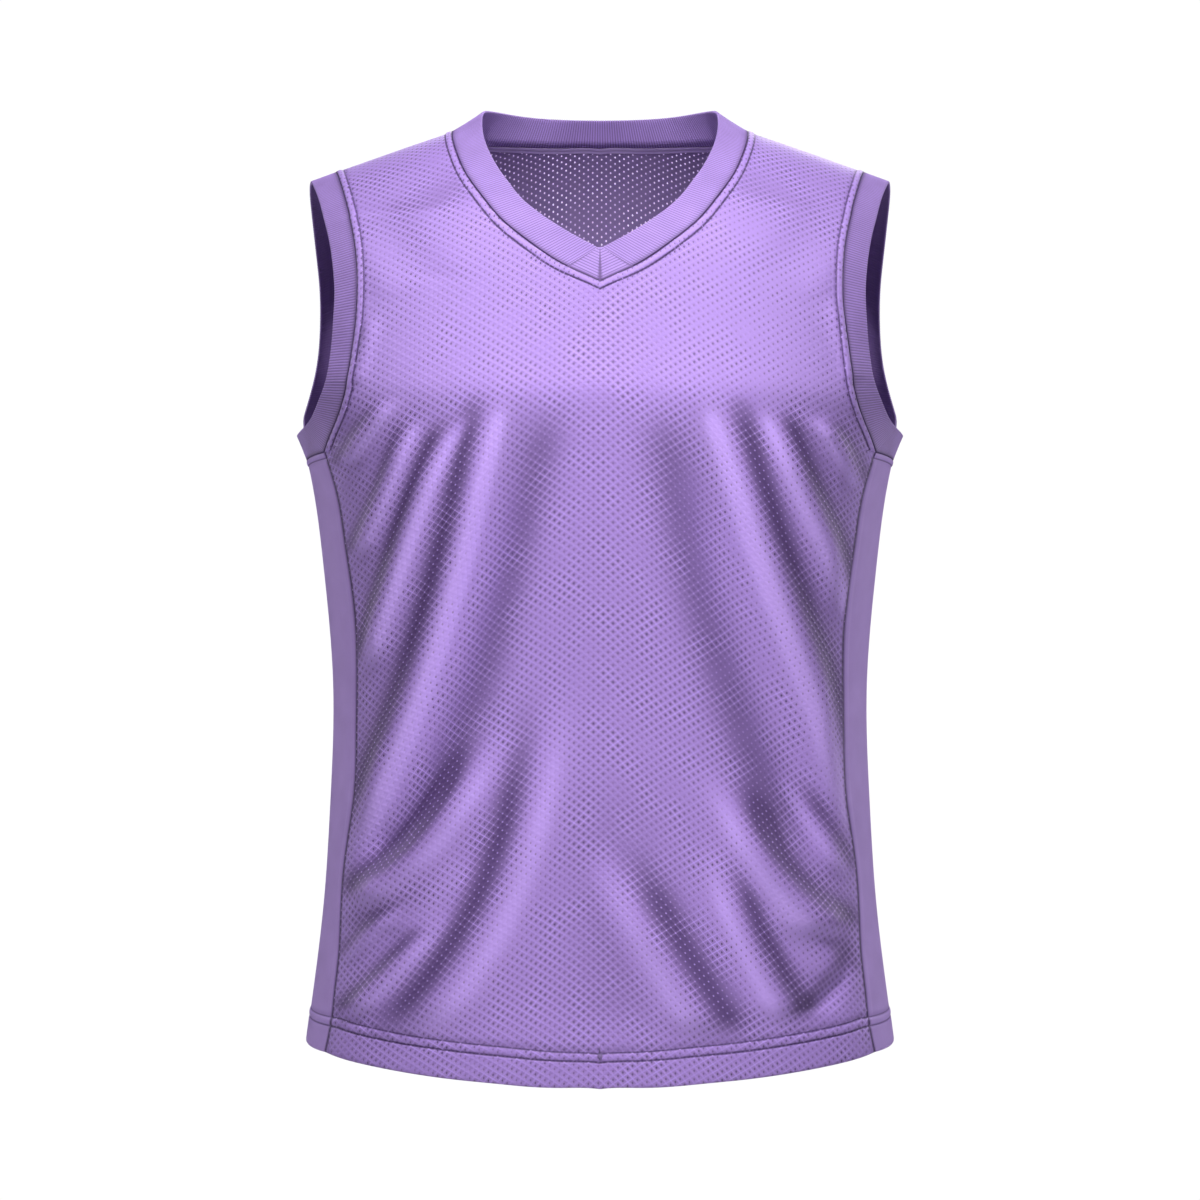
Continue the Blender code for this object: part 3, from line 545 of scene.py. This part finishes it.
def maths(operation, *inputs, clamp=False):
    """One Math node; each input is a number or the socket that feeds it, and the
    first is a socket of the tree that the node goes into."""
    tree = inputs[0].id_data
    node = tree.nodes.new("ShaderNodeMath")
    node.operation, node.use_clamp = operation, clamp
    for socket, value in zip(node.inputs, inputs):
        if isinstance(value, (int, float)):
            socket.default_value = value
        else:
            tree.links.new(value, socket)
    return node.outputs[0]


def new_group(name, sizes, outputs):
    """A node group that takes a cloth's lengths, and sizes in metres."""
    group = bpy.data.node_groups.new(name, "ShaderNodeTree")
    group.interface.new_socket("Lengths", in_out="INPUT", socket_type="NodeSocketVector")
    for label, value in sizes.items():
        socket = group.interface.new_socket(label, in_out="INPUT", socket_type="NodeSocketFloat")
        socket.default_value = value
    for label in outputs:
        group.interface.new_socket(label, in_out="OUTPUT", socket_type="NodeSocketFloat")
    given, put = group.nodes.new("NodeGroupInput").outputs, group.nodes.new("NodeGroupOutput").inputs
    split = group.nodes.new("ShaderNodeSeparateXYZ")
    group.links.new(given["Lengths"], split.inputs[0])
    return group, given, split.outputs, put


# Eyelets of the mesh knit: rows of small holes, each row shifted by half a step,
# each hole in a dimple, so that a raised diamond net is left between them.
eyelets, given, lengths, put = new_group(
    "eyelets", {"Across": 0.0070, "Up": 0.0060, "Hole": 0.00051}, ("Hole", "Net", "Knot", "Height"))
u, v = (maths("DIVIDE", lengths[k], given[step]) for k, step in ((0, "Across"), (1, "Up")))
lines = []
for operation in ("ADD", "SUBTRACT"):
    line = maths("ADD", maths(operation, u, v), 200.5)
    lines.append(maths("SUBTRACT", maths("FRACT", line), 0.5))
squares = []
for operation, step in (("ADD", "Across"), ("SUBTRACT", "Up")):
    off = maths("MULTIPLY", maths(operation, *lines), given[step])
    radii = maths("DIVIDE", maths("MULTIPLY", off, 0.5), given["Hole"])
    squares.append(maths("POWER", radii, 2.0))
taller = maths("MULTIPLY", squares[1], 0.50)
reach = maths("SQRT", maths("ADD", squares[0], taller))
sides = [maths("ABSOLUTE", line) for line in lines]
between, crossing = (maths(operation, *sides) for operation in ("MAXIMUM", "MINIMUM"))
for source, low, high, target in (
        (reach, 1.45, 0.75, "Hole"), (between, 0.36, 0.49, "Net"),
        (crossing, 0.34, 0.46, "Knot"), (between, 0.06, 0.5, "Height")):
    ramp = eyelets.nodes.new("ShaderNodeMapRange")
    ramp.interpolation_type = "SMOOTHSTEP"
    for label, value in (("From Min", low), ("From Max", high)):
        ramp.inputs[label].default_value = value
    eyelets.links.new(source, ramp.inputs["Value"])
    eyelets.links.new(ramp.outputs[0], put[target])

# The knit itself: fine columns of loops, a little uneven, on every fabric.
loops, given, lengths, put = new_group("loops", {"Column": 0.0009, "Row": 0.0007}, ("Height", "Shade"))
column, row = (maths("DIVIDE", lengths[k], given[step]) for k, step in ((0, "Column"), (1, "Row")))
across = maths("COSINE", maths("MULTIPLY", column, 2 * np.pi))
lean = maths("ABSOLUTE", maths("SINE", maths("MULTIPLY", column, np.pi)))
turn = maths("ADD", row, maths("MULTIPLY", lean, 0.5))
up = maths("COSINE", maths("MULTIPLY", turn, 2 * np.pi))
noise = []
for scale, detail in ((420, 3), (38, 4)):
    node = loops.nodes.new("ShaderNodeTexNoise")
    node.inputs["Scale"].default_value = scale
    node.inputs["Detail"].default_value = detail
    loops.links.new(given["Lengths"], node.inputs["Vector"])
    noise.append(node.outputs[0])
uneven, patchy = noise
height = maths("MULTIPLY", maths("ADD", across, up), 0.25)
loops.links.new(maths("ADD", height, uneven), put["Height"])
loops.links.new(patchy, put["Shade"])


def blend(first, second, factor):
    """A colour on the way from the first to the second, by a factor."""
    tree = factor.id_data
    node = tree.nodes.new("ShaderNodeMix")
    node.data_type = "RGBA"
    for label, value in (("A", first), ("B", second), ("Factor", factor)):
        socket = [s for s in node.inputs if s.name == label and s.enabled][0]
        if isinstance(value, tuple):
            socket.default_value = (*value, 1)
        else:
            tree.links.new(value, socket)
    return [s for s in node.outputs if s.enabled][0]


SEAM = (0.030, 0.017, 0.06)  # the colour down in a seam: its thread, and painted shadow
CREASE_DARK = 1.26  # how soon painted shade turns the knit dark
NET_RELIEF = 0.20
GLOW = (0.72, 0.50, 1.0)  # painted glow in an eyelet seen from inside, standing in for light through it


def fabric(name, colour, dark, rough, column, row, relief, light=None, hole=None, rib=None, painted_glow=0):
    """A knit with soft sheen: its colour and the colour of its painted shade, roughness,
    loop size and relief; light is the colour of its painted light and of the painted highlights on the mesh
    net, hole its eyelets' colour, rib the width of a rib, and the last argument how strongly the eyelets glow
    with painted light."""
    material = bpy.data.materials.new(name)
    material.use_nodes = True
    tree = material.node_tree
    shader = tree.nodes["Principled BSDF"]
    lengths = tree.nodes.new("ShaderNodeUVMap")
    lengths.uv_map = "lengths"
    knit = tree.nodes.new("ShaderNodeGroup")
    knit.node_tree = loops
    knit.inputs["Column"].default_value, knit.inputs["Row"].default_value = column, row
    tree.links.new(lengths.outputs[0], knit.inputs["Lengths"])
    shade = knit.outputs["Shade"]
    tone = blend(colour, dark, maths("MULTIPLY_ADD", shade, 0.45, -0.15, clamp=True))
    height = maths("MULTIPLY", knit.outputs["Height"], relief)
    if hole:
        net = tree.nodes.new("ShaderNodeGroup")
        net.node_tree = eyelets
        tree.links.new(lengths.outputs[0], net.inputs["Lengths"])
        height = maths("MULTIPLY_ADD", net.outputs["Height"], NET_RELIEF, height)
    # Painted shade in the rib's valleys: the knit turns darker there.
    if rib:
        split = tree.nodes.new("ShaderNodeSeparateXYZ")
        tree.links.new(lengths.outputs[0], split.inputs[0])
        valley = maths("COSINE", maths("MULTIPLY", split.outputs[0], 2 * np.pi / rib))
        tone = blend(tone, dark, maths("MULTIPLY_ADD", valley, -0.55, 0.08, clamp=True))
    # The cloth's own values: painted shade in seams, furrows and folds above 0, painted light below 0.
    attribute = tree.nodes.new("ShaderNodeAttribute")
    attribute.attribute_name = "seams_and_painted_shade"
    seams_and_painted_shade = attribute.outputs["Fac"]
    tone = blend(tone, dark, maths("MULTIPLY", seams_and_painted_shade, CREASE_DARK, clamp=True))
    if hole:
        # Shares of painted shade and of painted light (crown), which lightens the knit.
        painted_dark = maths("MULTIPLY", seams_and_painted_shade, 1.0, clamp=True)
        crown = maths("MULTIPLY", seams_and_painted_shade, -1.0, clamp=True)
        tone = blend(tone, light, crown)
        # Painted highlight on the raised net, in patches, less where shade or light is painted.
        patch = maths("MULTIPLY_ADD", shade, 2.4, -0.60)
        patch = maths("SUBTRACT", patch, maths("ABSOLUTE", seams_and_painted_shade), clamp=True)
        tone = blend(tone, light, maths("MULTIPLY", net.outputs["Net"], patch))
        # Painted highlight on the knots of the net, strongest in painted shade.
        knots = maths("MULTIPLY_ADD", painted_dark, 1.2, 0.1, clamp=True)
        tone = blend(tone, light, maths("MULTIPLY", net.outputs["Knot"], knots))
        # The eyelets show less under painted shade and painted light.
        hidden = maths("ADD", maths("MULTIPLY", painted_dark, 0.8), maths("MULTIPLY", crown, 0.5))
        seen = maths("SUBTRACT", maths("MULTIPLY_ADD", shade, 2.2, -0.4), hidden, clamp=True)
        seen = maths("MULTIPLY", net.outputs["Hole"], seen)
        tone = blend(tone, hole, seen)
        # A painted glow in the eyelets, standing in for light seen through them.
        if painted_glow:
            tree.links.new(blend((0.0, 0.0, 0.0), GLOW, seen), shader.inputs["Emission Color"])
            shader.inputs["Emission Strength"].default_value = painted_glow
    # Darkest in a seam: its thread, and painted shadow down in it.
    seam = maths("MULTIPLY_ADD", seams_and_painted_shade, 4.0, -3.0, clamp=True)
    tone = blend(tone, SEAM, maths("MULTIPLY", seam, 0.9))
    tree.links.new(tone, shader.inputs["Base Color"])
    bump = tree.nodes.new("ShaderNodeBump")
    bump.inputs["Distance"].default_value = 0.001
    tree.links.new(height, bump.inputs["Height"])
    tree.links.new(bump.outputs[0], shader.inputs["Normal"])
    for socket, value in (
            ("Roughness", rough), ("IOR", 1.55), ("Specular IOR Level", 0.6),
            ("Specular Tint", (0.80, 0.62, 1.0, 1)), ("Sheen Weight", 0.10),
            ("Sheen Roughness", 0.35), ("Sheen Tint", (0.72, 0.54, 1.0, 1))):
        shader.inputs[socket].default_value = value
    return material


# The mesh knit: light is the colour of its painted light and highlights, hole the dark of its eyelets.
mesh_knit = fabric("mesh_knit", (0.43, 0.272, 0.73), (0.085, 0.047, 0.16), 0.50, 0.0009, 0.0007, 0.035,
                   light=(0.62, 0.41, 1.0), hole=(0.05, 0.025, 0.10))
# Its inside: its eyelets painted near-white and glowing, painted light that stands for light seen through
# them.
mesh_inside = fabric("mesh_inside", (0.31, 0.22, 0.46), (0.15, 0.10, 0.24), 0.70, 0.0009, 0.0007, 0.035,
                     light=(0.27, 0.20, 0.42), hole=(1.0, 0.90, 1.0), painted_glow=0.9)
thread = fabric("thread", (0.22, 0.13, 0.40), (0.085, 0.047, 0.16), 0.45, 0.0004, 0.0004, 0.05)
STITCH_PITCH, STITCH, THREAD = 0.0030, 0.0023, 0.00045


def spaced(points, step):
    """The run of a line of points, and places an even step apart along it."""
    run = run_of(points)
    return run, np.linspace(0, run[-1], max(2, round(run[-1] / step)) + 1)


def read(run, at, values):
    """Values along a run, read at other places."""
    return np.stack([np.interp(at, run, values[:, k]) for k in range(values.shape[1])], -1)


def stitches(name, lines):
    """Short threads laid end to end along lines of points and normals."""
    bm = bmesh.new()
    bmesh.ops.create_uvsphere(bm, u_segments=6, v_segments=4, radius=0.5)
    shape = np.array([vert.co for vert in bm.verts])
    faces = sorted([vert.index for vert in face.verts] for face in bm.faces)
    bm.free()
    verts = []
    for points, normals in lines:
        run, at = spaced(points, STITCH_PITCH)
        points, normals = read(run, at, points), read(run, at, normals)
        ahead = unit(np.gradient(points, axis=0))
        aside = unit(np.cross(normals, ahead))
        turn = np.stack([aside * THREAD, np.cross(ahead, aside) * THREAD, ahead * STITCH], 1)
        verts.append(points[:, None] + shape @ turn)
    verts = np.concatenate(verts)
    mesh = bpy.data.meshes.new(name)
    mesh.from_pydata(verts.reshape(-1, 3).tolist(), [], [
        [i + k * len(shape) for i in face] for k in range(len(verts)) for face in faces])
    mesh.shade_smooth()
    mesh.materials.append(thread)
    obj = add(name, mesh)
    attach(obj, "root")
    return obj


SIDE_STEPS, ARM_STEPS, SHOULDER_STEPS = 120, 77, 24
UNDERARM = len(HEM_ROWS) - 1 + SIDE_STEPS + len(RIM) - 1  # its row in a panel's grid
tip = np.array([[TIP_SEAM, crest(TIP_SEAM)]])
neck_side = np.array([[NECK_SIDE, crest(NECK_SIDE)]])
panels = {}


def panel(side, arm, neck, neck_steps, insert_steps):
    """Normals, UVs, outer points, seam lines with painted shade and light, and lines to sew of the front or
    back.
    """
    armhole = edge(np.concatenate([lay(arm[:, :2]), lay(tip)]), [0], ARM_STEPS, RIM)
    left = np.concatenate([edge(lay(SIDE_SEAM), HEM_ROWS, SIDE_STEPS, RIM), armhole[1:]])
    shoulder = edge(np.concatenate([lay(tip), lay(neck_side)]), RIM, SHOULDER_STEPS, [0])
    neckline = np.concatenate([lay(neck_side), lay(neck)])
    length = length_of(neckline)
    cut = length - (INSERT_LENGTH if insert_steps else 0)
    places = [np.linspace(0, cut, neck_steps + 1), np.linspace(cut, length, insert_steps + 1)[1:]]
    top = mirrored(np.concatenate([shoulder, along(neckline, np.concatenate(places) / length)[1:]]))
    bottom = mirrored(edge(lay(HEM), RIM, len(top) // 2 - len(RIM) + 1, [0]))
    grid = framed(bottom, left * (-1, 1), top, left, HEM_ROWS, RIM)
    rows, cols = grid.shape[:2]
    column, rim = len(shoulder) - 1, len(RIM)
    x, v = grid[..., 0], grid[..., 1]
    points = folded(x, v, side)
    # Painted shade and highlight from the folds, painted light on the chest where no painted shade lies, then
    # dark seam, rim and hem lines.
    raised, seams_and_painted_shade = np.zeros((rows, cols)), fold_shade(x, points[..., 2], side)
    seams_and_painted_shade -= painted_chest_light(x, points[..., 2]) * np.clip(1 - 3 * seams_and_painted_shade, 0, 1)
    seams_and_painted_shade[:, :3] = np.maximum(seams_and_painted_shade[:, :3], SEAM_CREASE)
    seams_and_painted_shade[:, -3:] = np.maximum(seams_and_painted_shade[:, -3:], SEAM_CREASE[::-1])
    for values, at_rim in ((raised, RIM_RAISED), (seams_and_painted_shade, RIM_CREASE)):
        values[UNDERARM:, :rim], values[UNDERARM:, -rim:] = at_rim, at_rim[::-1]
        values[-rim:, column:cols - column] = at_rim[::-1, None]
    raised[:len(HEM_ROWS)] = HEM_RAISED[:, None]
    seams_and_painted_shade[:len(HEM_ROWS)] = np.maximum(seams_and_painted_shade[:len(HEM_ROWS)], HEM_CREASE[:, None])
    normal = outward(lambda a, b: folded(a, b, side), x, v, side)
    uv = measured(lambda a, b: place(a, b, side), x, v)
    panels[side] = points, normal, column
    outer = points + normal * (CLOTH / 2 + raised[..., None])
    lines = [(i, slice(None)) for i in HEM_SEWN]
    lines += [(slice(UNDERARM, None), i) for i in (RIM_SEWN, -1 - RIM_SEWN)]
    lines += [(-1 - RIM_SEWN, slice(column, cols - column))]
    sewn = [(outer[line], normal[line]) for line in lines]
    return normal, uv, outer, seams_and_painted_shade, sewn


normal, uv, outer, seams_and_painted_shade, sewn = panel(
    FRONT, ARM_FRONT, NECK_FRONT, neck_steps=46, insert_steps=INSERT_STEPS)
front_cloth = cloth("front_panel_cloth", outer, uv, normal, (mesh_knit, mesh_inside), seams_and_painted_shade, CLOTH)
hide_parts("front_panel")
front_stitches = stitches("front_panel_stitches", sewn)

# The back panel: the same mesh knit with a shallow neckline, creased in its own
# way down from the shoulder blades. In front, only its inside below the collar
# is seen.
ARM_BACK = np.array([  # laid out like ARM_FRONT
    (-0.1990, -0.2470, -0.2236, -0.2268), (-0.2022, -0.2345, -0.2252, -0.2180),
    (-0.2040, -0.2160, -0.2245, -0.2060), (-0.2022, -0.1945, -0.2204, -0.1855),
    (-0.2004, -0.1730, -0.2177, -0.1667), (-0.1994, -0.1520, -0.2165, -0.1464),
    (-0.1988, -0.1320, -0.2162, -0.1296), (-0.1986, -0.1130, -0.2166, -0.1116),
    (-0.1985, -0.0940, -0.2178, -0.0938), (-0.1985, -0.0760, -0.2190, -0.0765),
    (-0.1985, -0.0590, -0.2198, -0.0596), (-0.1985, -0.0430, -0.2192, -0.0450),
])
NECK_BACK = np.array([
    (-0.1060, -0.0060), (-0.0960, -0.0070), (-0.0800, -0.0068), (-0.0600, -0.0060),
    (-0.0300, -0.0052), (0.0000, -0.0049),
])
FOLDS[BACK] = np.array([
    (-0.050, -0.230, -0.076, -0.353, -0.117, -0.477, -0.172, -0.600, 0.020, 0.017, 0.0084),
    (-0.108, -0.250, -0.126, -0.317, -0.150, -0.383, -0.180, -0.450, 0.015, 0.013, 0.0058),
    (-0.030, -0.440, -0.050, -0.512, -0.086, -0.583, -0.140, -0.655, 0.020, 0.017, 0.0071),
    (-0.128, -0.560, -0.141, -0.584, -0.161, -0.608, -0.188, -0.632, 0.010, 0.009, 0.0045),
    (0.058, -0.240, 0.086, -0.352, 0.126, -0.463, 0.178, -0.575, 0.018, 0.021, 0.0084),
    (0.116, -0.246, 0.134, -0.304, 0.156, -0.362, 0.180, -0.420, 0.012, 0.014, 0.0055),
    (0.036, -0.470, 0.056, -0.533, 0.092, -0.595, 0.142, -0.658, 0.016, 0.020, 0.0068),
    (0.126, -0.540, 0.142, -0.565, 0.163, -0.589, 0.188, -0.614, 0.009, 0.011, 0.0045),
])
normal, uv, outer, seams_and_painted_shade, sewn = panel(BACK, ARM_BACK, NECK_BACK, neck_steps=40, insert_steps=0)
back_cloth = cloth("back_panel_cloth", outer, uv, normal, (mesh_knit, mesh_inside), seams_and_painted_shade, CLOTH)
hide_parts("back_panel")
back_stitches = stitches("back_panel_stitches", sewn)

# The side panels: plain smooth knit from the underarm to the hem, overlocked
# to the front and back, with the hem running round across them.
smooth_knit = fabric("smooth_knit", (0.545, 0.36, 0.86), (0.25, 0.15, 0.46), 0.55, 0.0010, 0.0008, 0.07)
HEM_RISE = 0.0014  # the hem at the flank is this much higher than at the seams
UNDERARM_DIP = 0.0042  # and the underarm seam sags this much at the middle
FLANK = 0.130  # about a side panel's depth, front to back
OVERLOCK = 0.0003  # its edges are raised this much over the allowances


def place_side(y, z, sign):
    """The form at the wearer's flank, by depth y and height z."""
    half, front, back = np.moveaxis(form(z), -1, 0)
    return np.stack([sign * half * bulge(y / np.where(y < 0, front, back)), y, z], -1)


def folded_side(y, z, sign):
    """The flank with the folds that run into it, read like place_side."""
    p = place_side(y, z, sign)
    n = outward(lambda i, j: place_side(i, j, sign), y, z, sign)
    lift = np.where(y < 0, fold_height(p[..., 0], z, FRONT), fold_height(p[..., 0], z, BACK))
    return p + n * lift[..., None]


flank_tops = {}
for name, sign in (("right", -1), ("left", 1)):
    seam = edge(lay(SIDE_SEAM), HEM_ROWS, SIDE_STEPS, RIM)
    front, back = (place(seam[:, 0], seam[:, 1], s)[:, 1:] for s in (FRONT, BACK))
    s = stations(FLANK, RIM, 40, RIM)[:, None]
    sag = np.array([0, -4.0]) * s * (1 - s)
    grid = fill(front[0] * (1 - s) + back[0] * s - sag * HEM_RISE, back,
                front[-1] * (1 - s) + back[-1] * s + sag * UNDERARM_DIP, front, u=s[:, 0])
    y, z = grid[..., 0], grid[..., 1]
    raised = np.zeros(y.shape)
    raised[:, 2:5] = raised[:, -5:-2] = OVERLOCK
    raised[-len(RIM):] = RIM_RAISED[::-1, None]
    raised[:len(HEM_ROWS)] = HEM_RAISED[:, None]
    points = folded_side(y, z, sign)
    seams_and_painted_shade = np.zeros(y.shape)
    seams_and_painted_shade[:, :3], seams_and_painted_shade[:, -3:] = SEAM_CREASE, SEAM_CREASE[::-1]
    seams_and_painted_shade[-len(RIM):] = RIM_CREASE[::-1, None]
    seams_and_painted_shade[:len(HEM_ROWS)] = np.maximum(seams_and_painted_shade[:len(HEM_ROWS)], HEM_CREASE[:, None])
    normal = outward(lambda a, b: folded_side(a, b, sign), y, z, sign)
    flank_tops[sign] = points[-1], normal[-1]
    uv = measured(lambda a, b: place_side(a, b, sign), y, z)
    outer = points + normal * (CLOTH / 2 + raised[..., None])
    flank = cloth(f"side_panel_{name}_cloth", outer, uv, normal, (smooth_knit,), seams_and_painted_shade, CLOTH)
    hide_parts(f"side_panel_{name}")
    lines = [(outer[i], normal[i]) for i in (*HEM_SEWN, -1 - RIM_SEWN)]
    sewn = stitches(f"side_panel_{name}_stitches", lines)

# The armhole bands: rib knit folded in two, its ribs running across the band,
# sewn to the panels so that its fold is the free edge.
RIB, RIB_DEPTH = 0.0021, 0.00032
BAND = 0.0020  # thickness of the folded band
BAND_DARK = 0.70  # painted shade on the inside of an armhole band: how dark it is
TIP_EDGE = -0.2172  # where the free edge crosses the shoulder
UNDERARM_EDGE = (-0.2248, -0.2300)  # x, z of its lowest point
rib_knit = fabric("rib_knit", (0.475, 0.312, 0.78), (0.12, 0.07, 0.22), 0.54, 0.00105, 0.0009, 0.10, rib=RIB)


def band(name, seam, seam_normal, free, ring, inside):
    """A folded rib band from a seam line to its free edge, and that edge's normals."""
    turn = (np.roll(free, -1, 0) - np.roll(free, 1, 0)) if ring else np.gradient(free, axis=0)
    edge_normal = np.cross(turn, free - seam)
    edge_normal *= np.sign((edge_normal * seam_normal).sum(-1, keepdims=True))
    edges = seam, seam_normal, free, unit(edge_normal)
    if ring:
        edges = [np.concatenate([a, a[:1]]) for a in edges]
    run, at = spaced(edges[0], RIB / 4)
    ribs = round(run[-1] / RIB)
    seam, seam_normal, free, edge_normal = (read(run, at, a) for a in edges)
    across = free - seam
    width = np.linalg.norm(across, axis=-1, keepdims=True)
    across /= width
    half = BAND / 2
    profile = [(f, 0, 1) for f in (0.01, 0.06, 0.14, 0.26, 0.40, 0.55, 0.70, 0.84, 0.95)]
    profile += [(1, np.sin(t), np.cos(t)) for t in np.radians((0, 30, 60, 90, 120, 150, 180))]
    profile += [(f, 0, -1) for f in (0.90, 0.6, 0.3, 0.02)] + [(0.01, 0, 1)]
    crown = np.cos(2 * np.pi * ribs * at / at[-1])[:, None]
    rows, uv = [], []
    for f, out, up in profile:
        n = unit(seam_normal * (1 - f) + edge_normal * f)
        r = half + RIB_DEPTH * (crown - 1) / 2 * np.clip(f * 14, 0, 1)
        rows.append(seam + across * ((width - half) * f + r * out) + n * r * up)
        turned, apart = (out, 0) if up >= 0 else (2 - out, 0.01 * (1 - f))
        height = (width.mean() - half) * f + half * 1.5 * turned + apart
        uv.append(np.stack([at * ribs * RIB / at[-1], np.full(len(at), height)], -1))
    rows, uv = np.array(rows), np.array(uv)
    # Dark seam rows, partly painted shadow, and painted shade over the inside of the band.
    seams_and_painted_shade = np.zeros(rows.shape[:2])
    seams_and_painted_shade[[0, 1, 2, -1]] = np.array([1.0, 0.5, 0.1, 1.0])[:, None]
    seams_and_painted_shade[-6:-1] = inside
    piece = cloth(name, rows, uv, None, (rib_knit,), seams_and_painted_shade, closed=True)
    return piece, edge_normal


for name, sign in (("right", -1), ("left", 1)):
    column = 0 if sign < 0 else -1
    seam, seam_normal = (np.concatenate([
        panels[FRONT][k][:UNDERARM - 1:-1, column], flank_tops[sign][k][1:-1],
        panels[BACK][k][UNDERARM:-1, column]]) for k in (0, 1))
    crown = np.array([[TIP_EDGE, 0.0, crest(TIP_EDGE)]])
    fore, aft = lay(ARM_FRONT[::-1, 2:]), lay(ARM_BACK[:, 2:])
    fore, aft = place(fore[:, 0], fore[:, 1], FRONT), place(aft[:, 0], aft[:, 1], BACK)
    lowest = [[UNDERARM_EDGE[0], 0, UNDERARM_EDGE[1]]]
    edge_points = np.concatenate([aft[-3:], crown, fore, lowest, aft, crown, fore[:3]])
    run, mark = run_of(np.concatenate([seam, seam[:1]])), run_of(edge_points)
    front_end = len(panels[FRONT][0]) - 1 - UNDERARM
    corners = [0, front_end, front_end + len(flank_tops[sign][0]) - 1, len(run) - 1]
    pairs = [3, 3 + len(fore), 5 + len(fore), len(mark) - 4]
    places = np.interp(run, run[corners], mark[pairs] / mark[-1])[:-1]
    free = along(edge_points, places) * (-sign, 1, 1)
    piece, _ = band(f"armhole_band_{name}_rib", seam, seam_normal, free, True, BAND_DARK)
    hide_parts(f"armhole_band_{name}")

# The collar: the same rib, one band from the left of the V round the back of the
# neck to its right, cut on the slant at the V inserts. Its free edge is given as
# x, y, z from the V, over the side of the neck, to the back.
COLLAR_EDGE = np.array([
    (-0.0010, -0.1135, -0.1022), (-0.0129, -0.1118, -0.0958), (-0.0243, -0.1090, -0.0891),
    (-0.0359, -0.1050, -0.0815), (-0.0460, -0.1000, -0.0738), (-0.0547, -0.0940, -0.0660),
    (-0.0614, -0.0880, -0.0581), (-0.0669, -0.0815, -0.0500), (-0.0726, -0.0735, -0.0418),
    (-0.0772, -0.0650, -0.0335), (-0.0812, -0.0550, -0.0249), (-0.0845, -0.0435, -0.0161),
    (-0.0872, -0.0260, -0.0030), (-0.0876, -0.0120, 0.0062), (-0.0870, 0.0000, 0.0114),
    (-0.0838, 0.0190, 0.0154), (-0.0750, 0.0365, 0.0168), (-0.0590, 0.0510, 0.0163),
    (-0.0330, 0.0600, 0.0154), (0.0000, 0.0630, 0.0151),
])
front_p, front_n, neck_column = panels[FRONT]
back_p, back_n, _ = panels[BACK]
middle = front_p.shape[1] // 2
cut = middle - INSERT_STEPS
seam, seam_normal = (np.concatenate([
    f[-1, neck_column:cut + 1][::-1], b[-1, neck_column + 1:b.shape[1] // 2 + 1]])
    for f, b in ((front_p, back_p), (front_n, back_n)))
run, mark = run_of(seam), run_of(COLLAR_EDGE)
side_top = np.argmin(np.abs(COLLAR_EDGE[:, 1]))
places = np.interp(run, run[[0, cut - neck_column, -1]], mark[[0, side_top, -1]] / mark[-1])
free = along(COLLAR_EDGE, places)
seam, free, seam_normal = (np.concatenate([a, a[-2::-1] * (-1, 1, 1)]) for a in (seam, free, seam_normal))
collar, edge_normal = band("collar_rib", seam, seam_normal, free, False, 0.0)
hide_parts("collar")

# The V inserts: two small triangles of the rib that close the point of the V,
# joined to each other down the middle.
INSERT_ROWS = 15
INSERT_GAP = 0.008  # an insert stops this share of its width short of its neighbours
for name, sign in (("right", -1), ("left", 1)):
    f = np.linspace(0, 1, INSERT_ROWS)[:, None, None]
    q = np.linspace(0, 1, INSERT_STEPS + 1)[:, None]
    seam, seam_normal = (a[-1, cut:middle + 1] for a in (front_p, front_n))
    top, top_normal = (a * (1 - q) + a * (0, 1, 1) * q for a in (free[0], edge_normal[0]))
    points = seam * (1 - f) + top * f
    normal = unit(seam_normal * (1 - f) + top_normal * f)
    step = unit(seam[0] - seam[-1])
    centre = INSERT_STEPS // 2
    uv = np.stack([points @ np.cross(seam_normal[centre], step), points @ step], -1)
    points = points + normal * BAND / 2 + (points[:, [centre]] - points) * INSERT_GAP
    # Dark lines along its seams and edges, partly painted shadow.
    seams_and_painted_shade = np.zeros(points.shape[:2])
    seams_and_painted_shade[:2] = ((1.0,), (0.3,))
    seams_and_painted_shade[:, [0, -1]] = 0.75, 0.8
    points, normal = points * (-sign, 1, 1), normal * (-sign, 1, 1)
    insert = cloth(f"v_insert_{name}_rib", points, uv, normal, (rib_knit,), seams_and_painted_shade, BAND)
    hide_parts(f"v_insert_{name}")

# The neck tape: narrow woven tape over the inside of the back neck seam, ending
# just short of the seam itself.
TAPE, TAPE_OFF = 0.0009, 0.0003  # its thickness, and how far it lies off the knit
# Painted shade on the tape: dark lines along its edges and along its middle.
TAPE_CREASE = np.array([40, 0, 0, 0, 45, 0, 0, 30]) / 100
tape = fabric("tape", (0.66, 0.50, 0.88), (0.19, 0.12, 0.31), 0.60, 0.0008, 0.0008, 0.10)
rim_rows, neck_cols = slice(-len(RIM), None), slice(neck_column, -neck_column)
p, n = back_p[rim_rows, neck_cols].copy(), back_n[rim_rows, neck_cols]
p[-1] += (p[-2] - p[-1]) * 0.8
uv = measured(lambda a, b: np.stack([a, b, 0 * a], -1), p[..., 0], p[..., 2], 0)
neck_tape = cloth("neck_tape_woven", p - n * (CLOTH / 2 + TAPE_OFF), uv, -n, (tape,),
                  TAPE_CREASE[:, None], TAPE)
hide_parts("neck_tape")
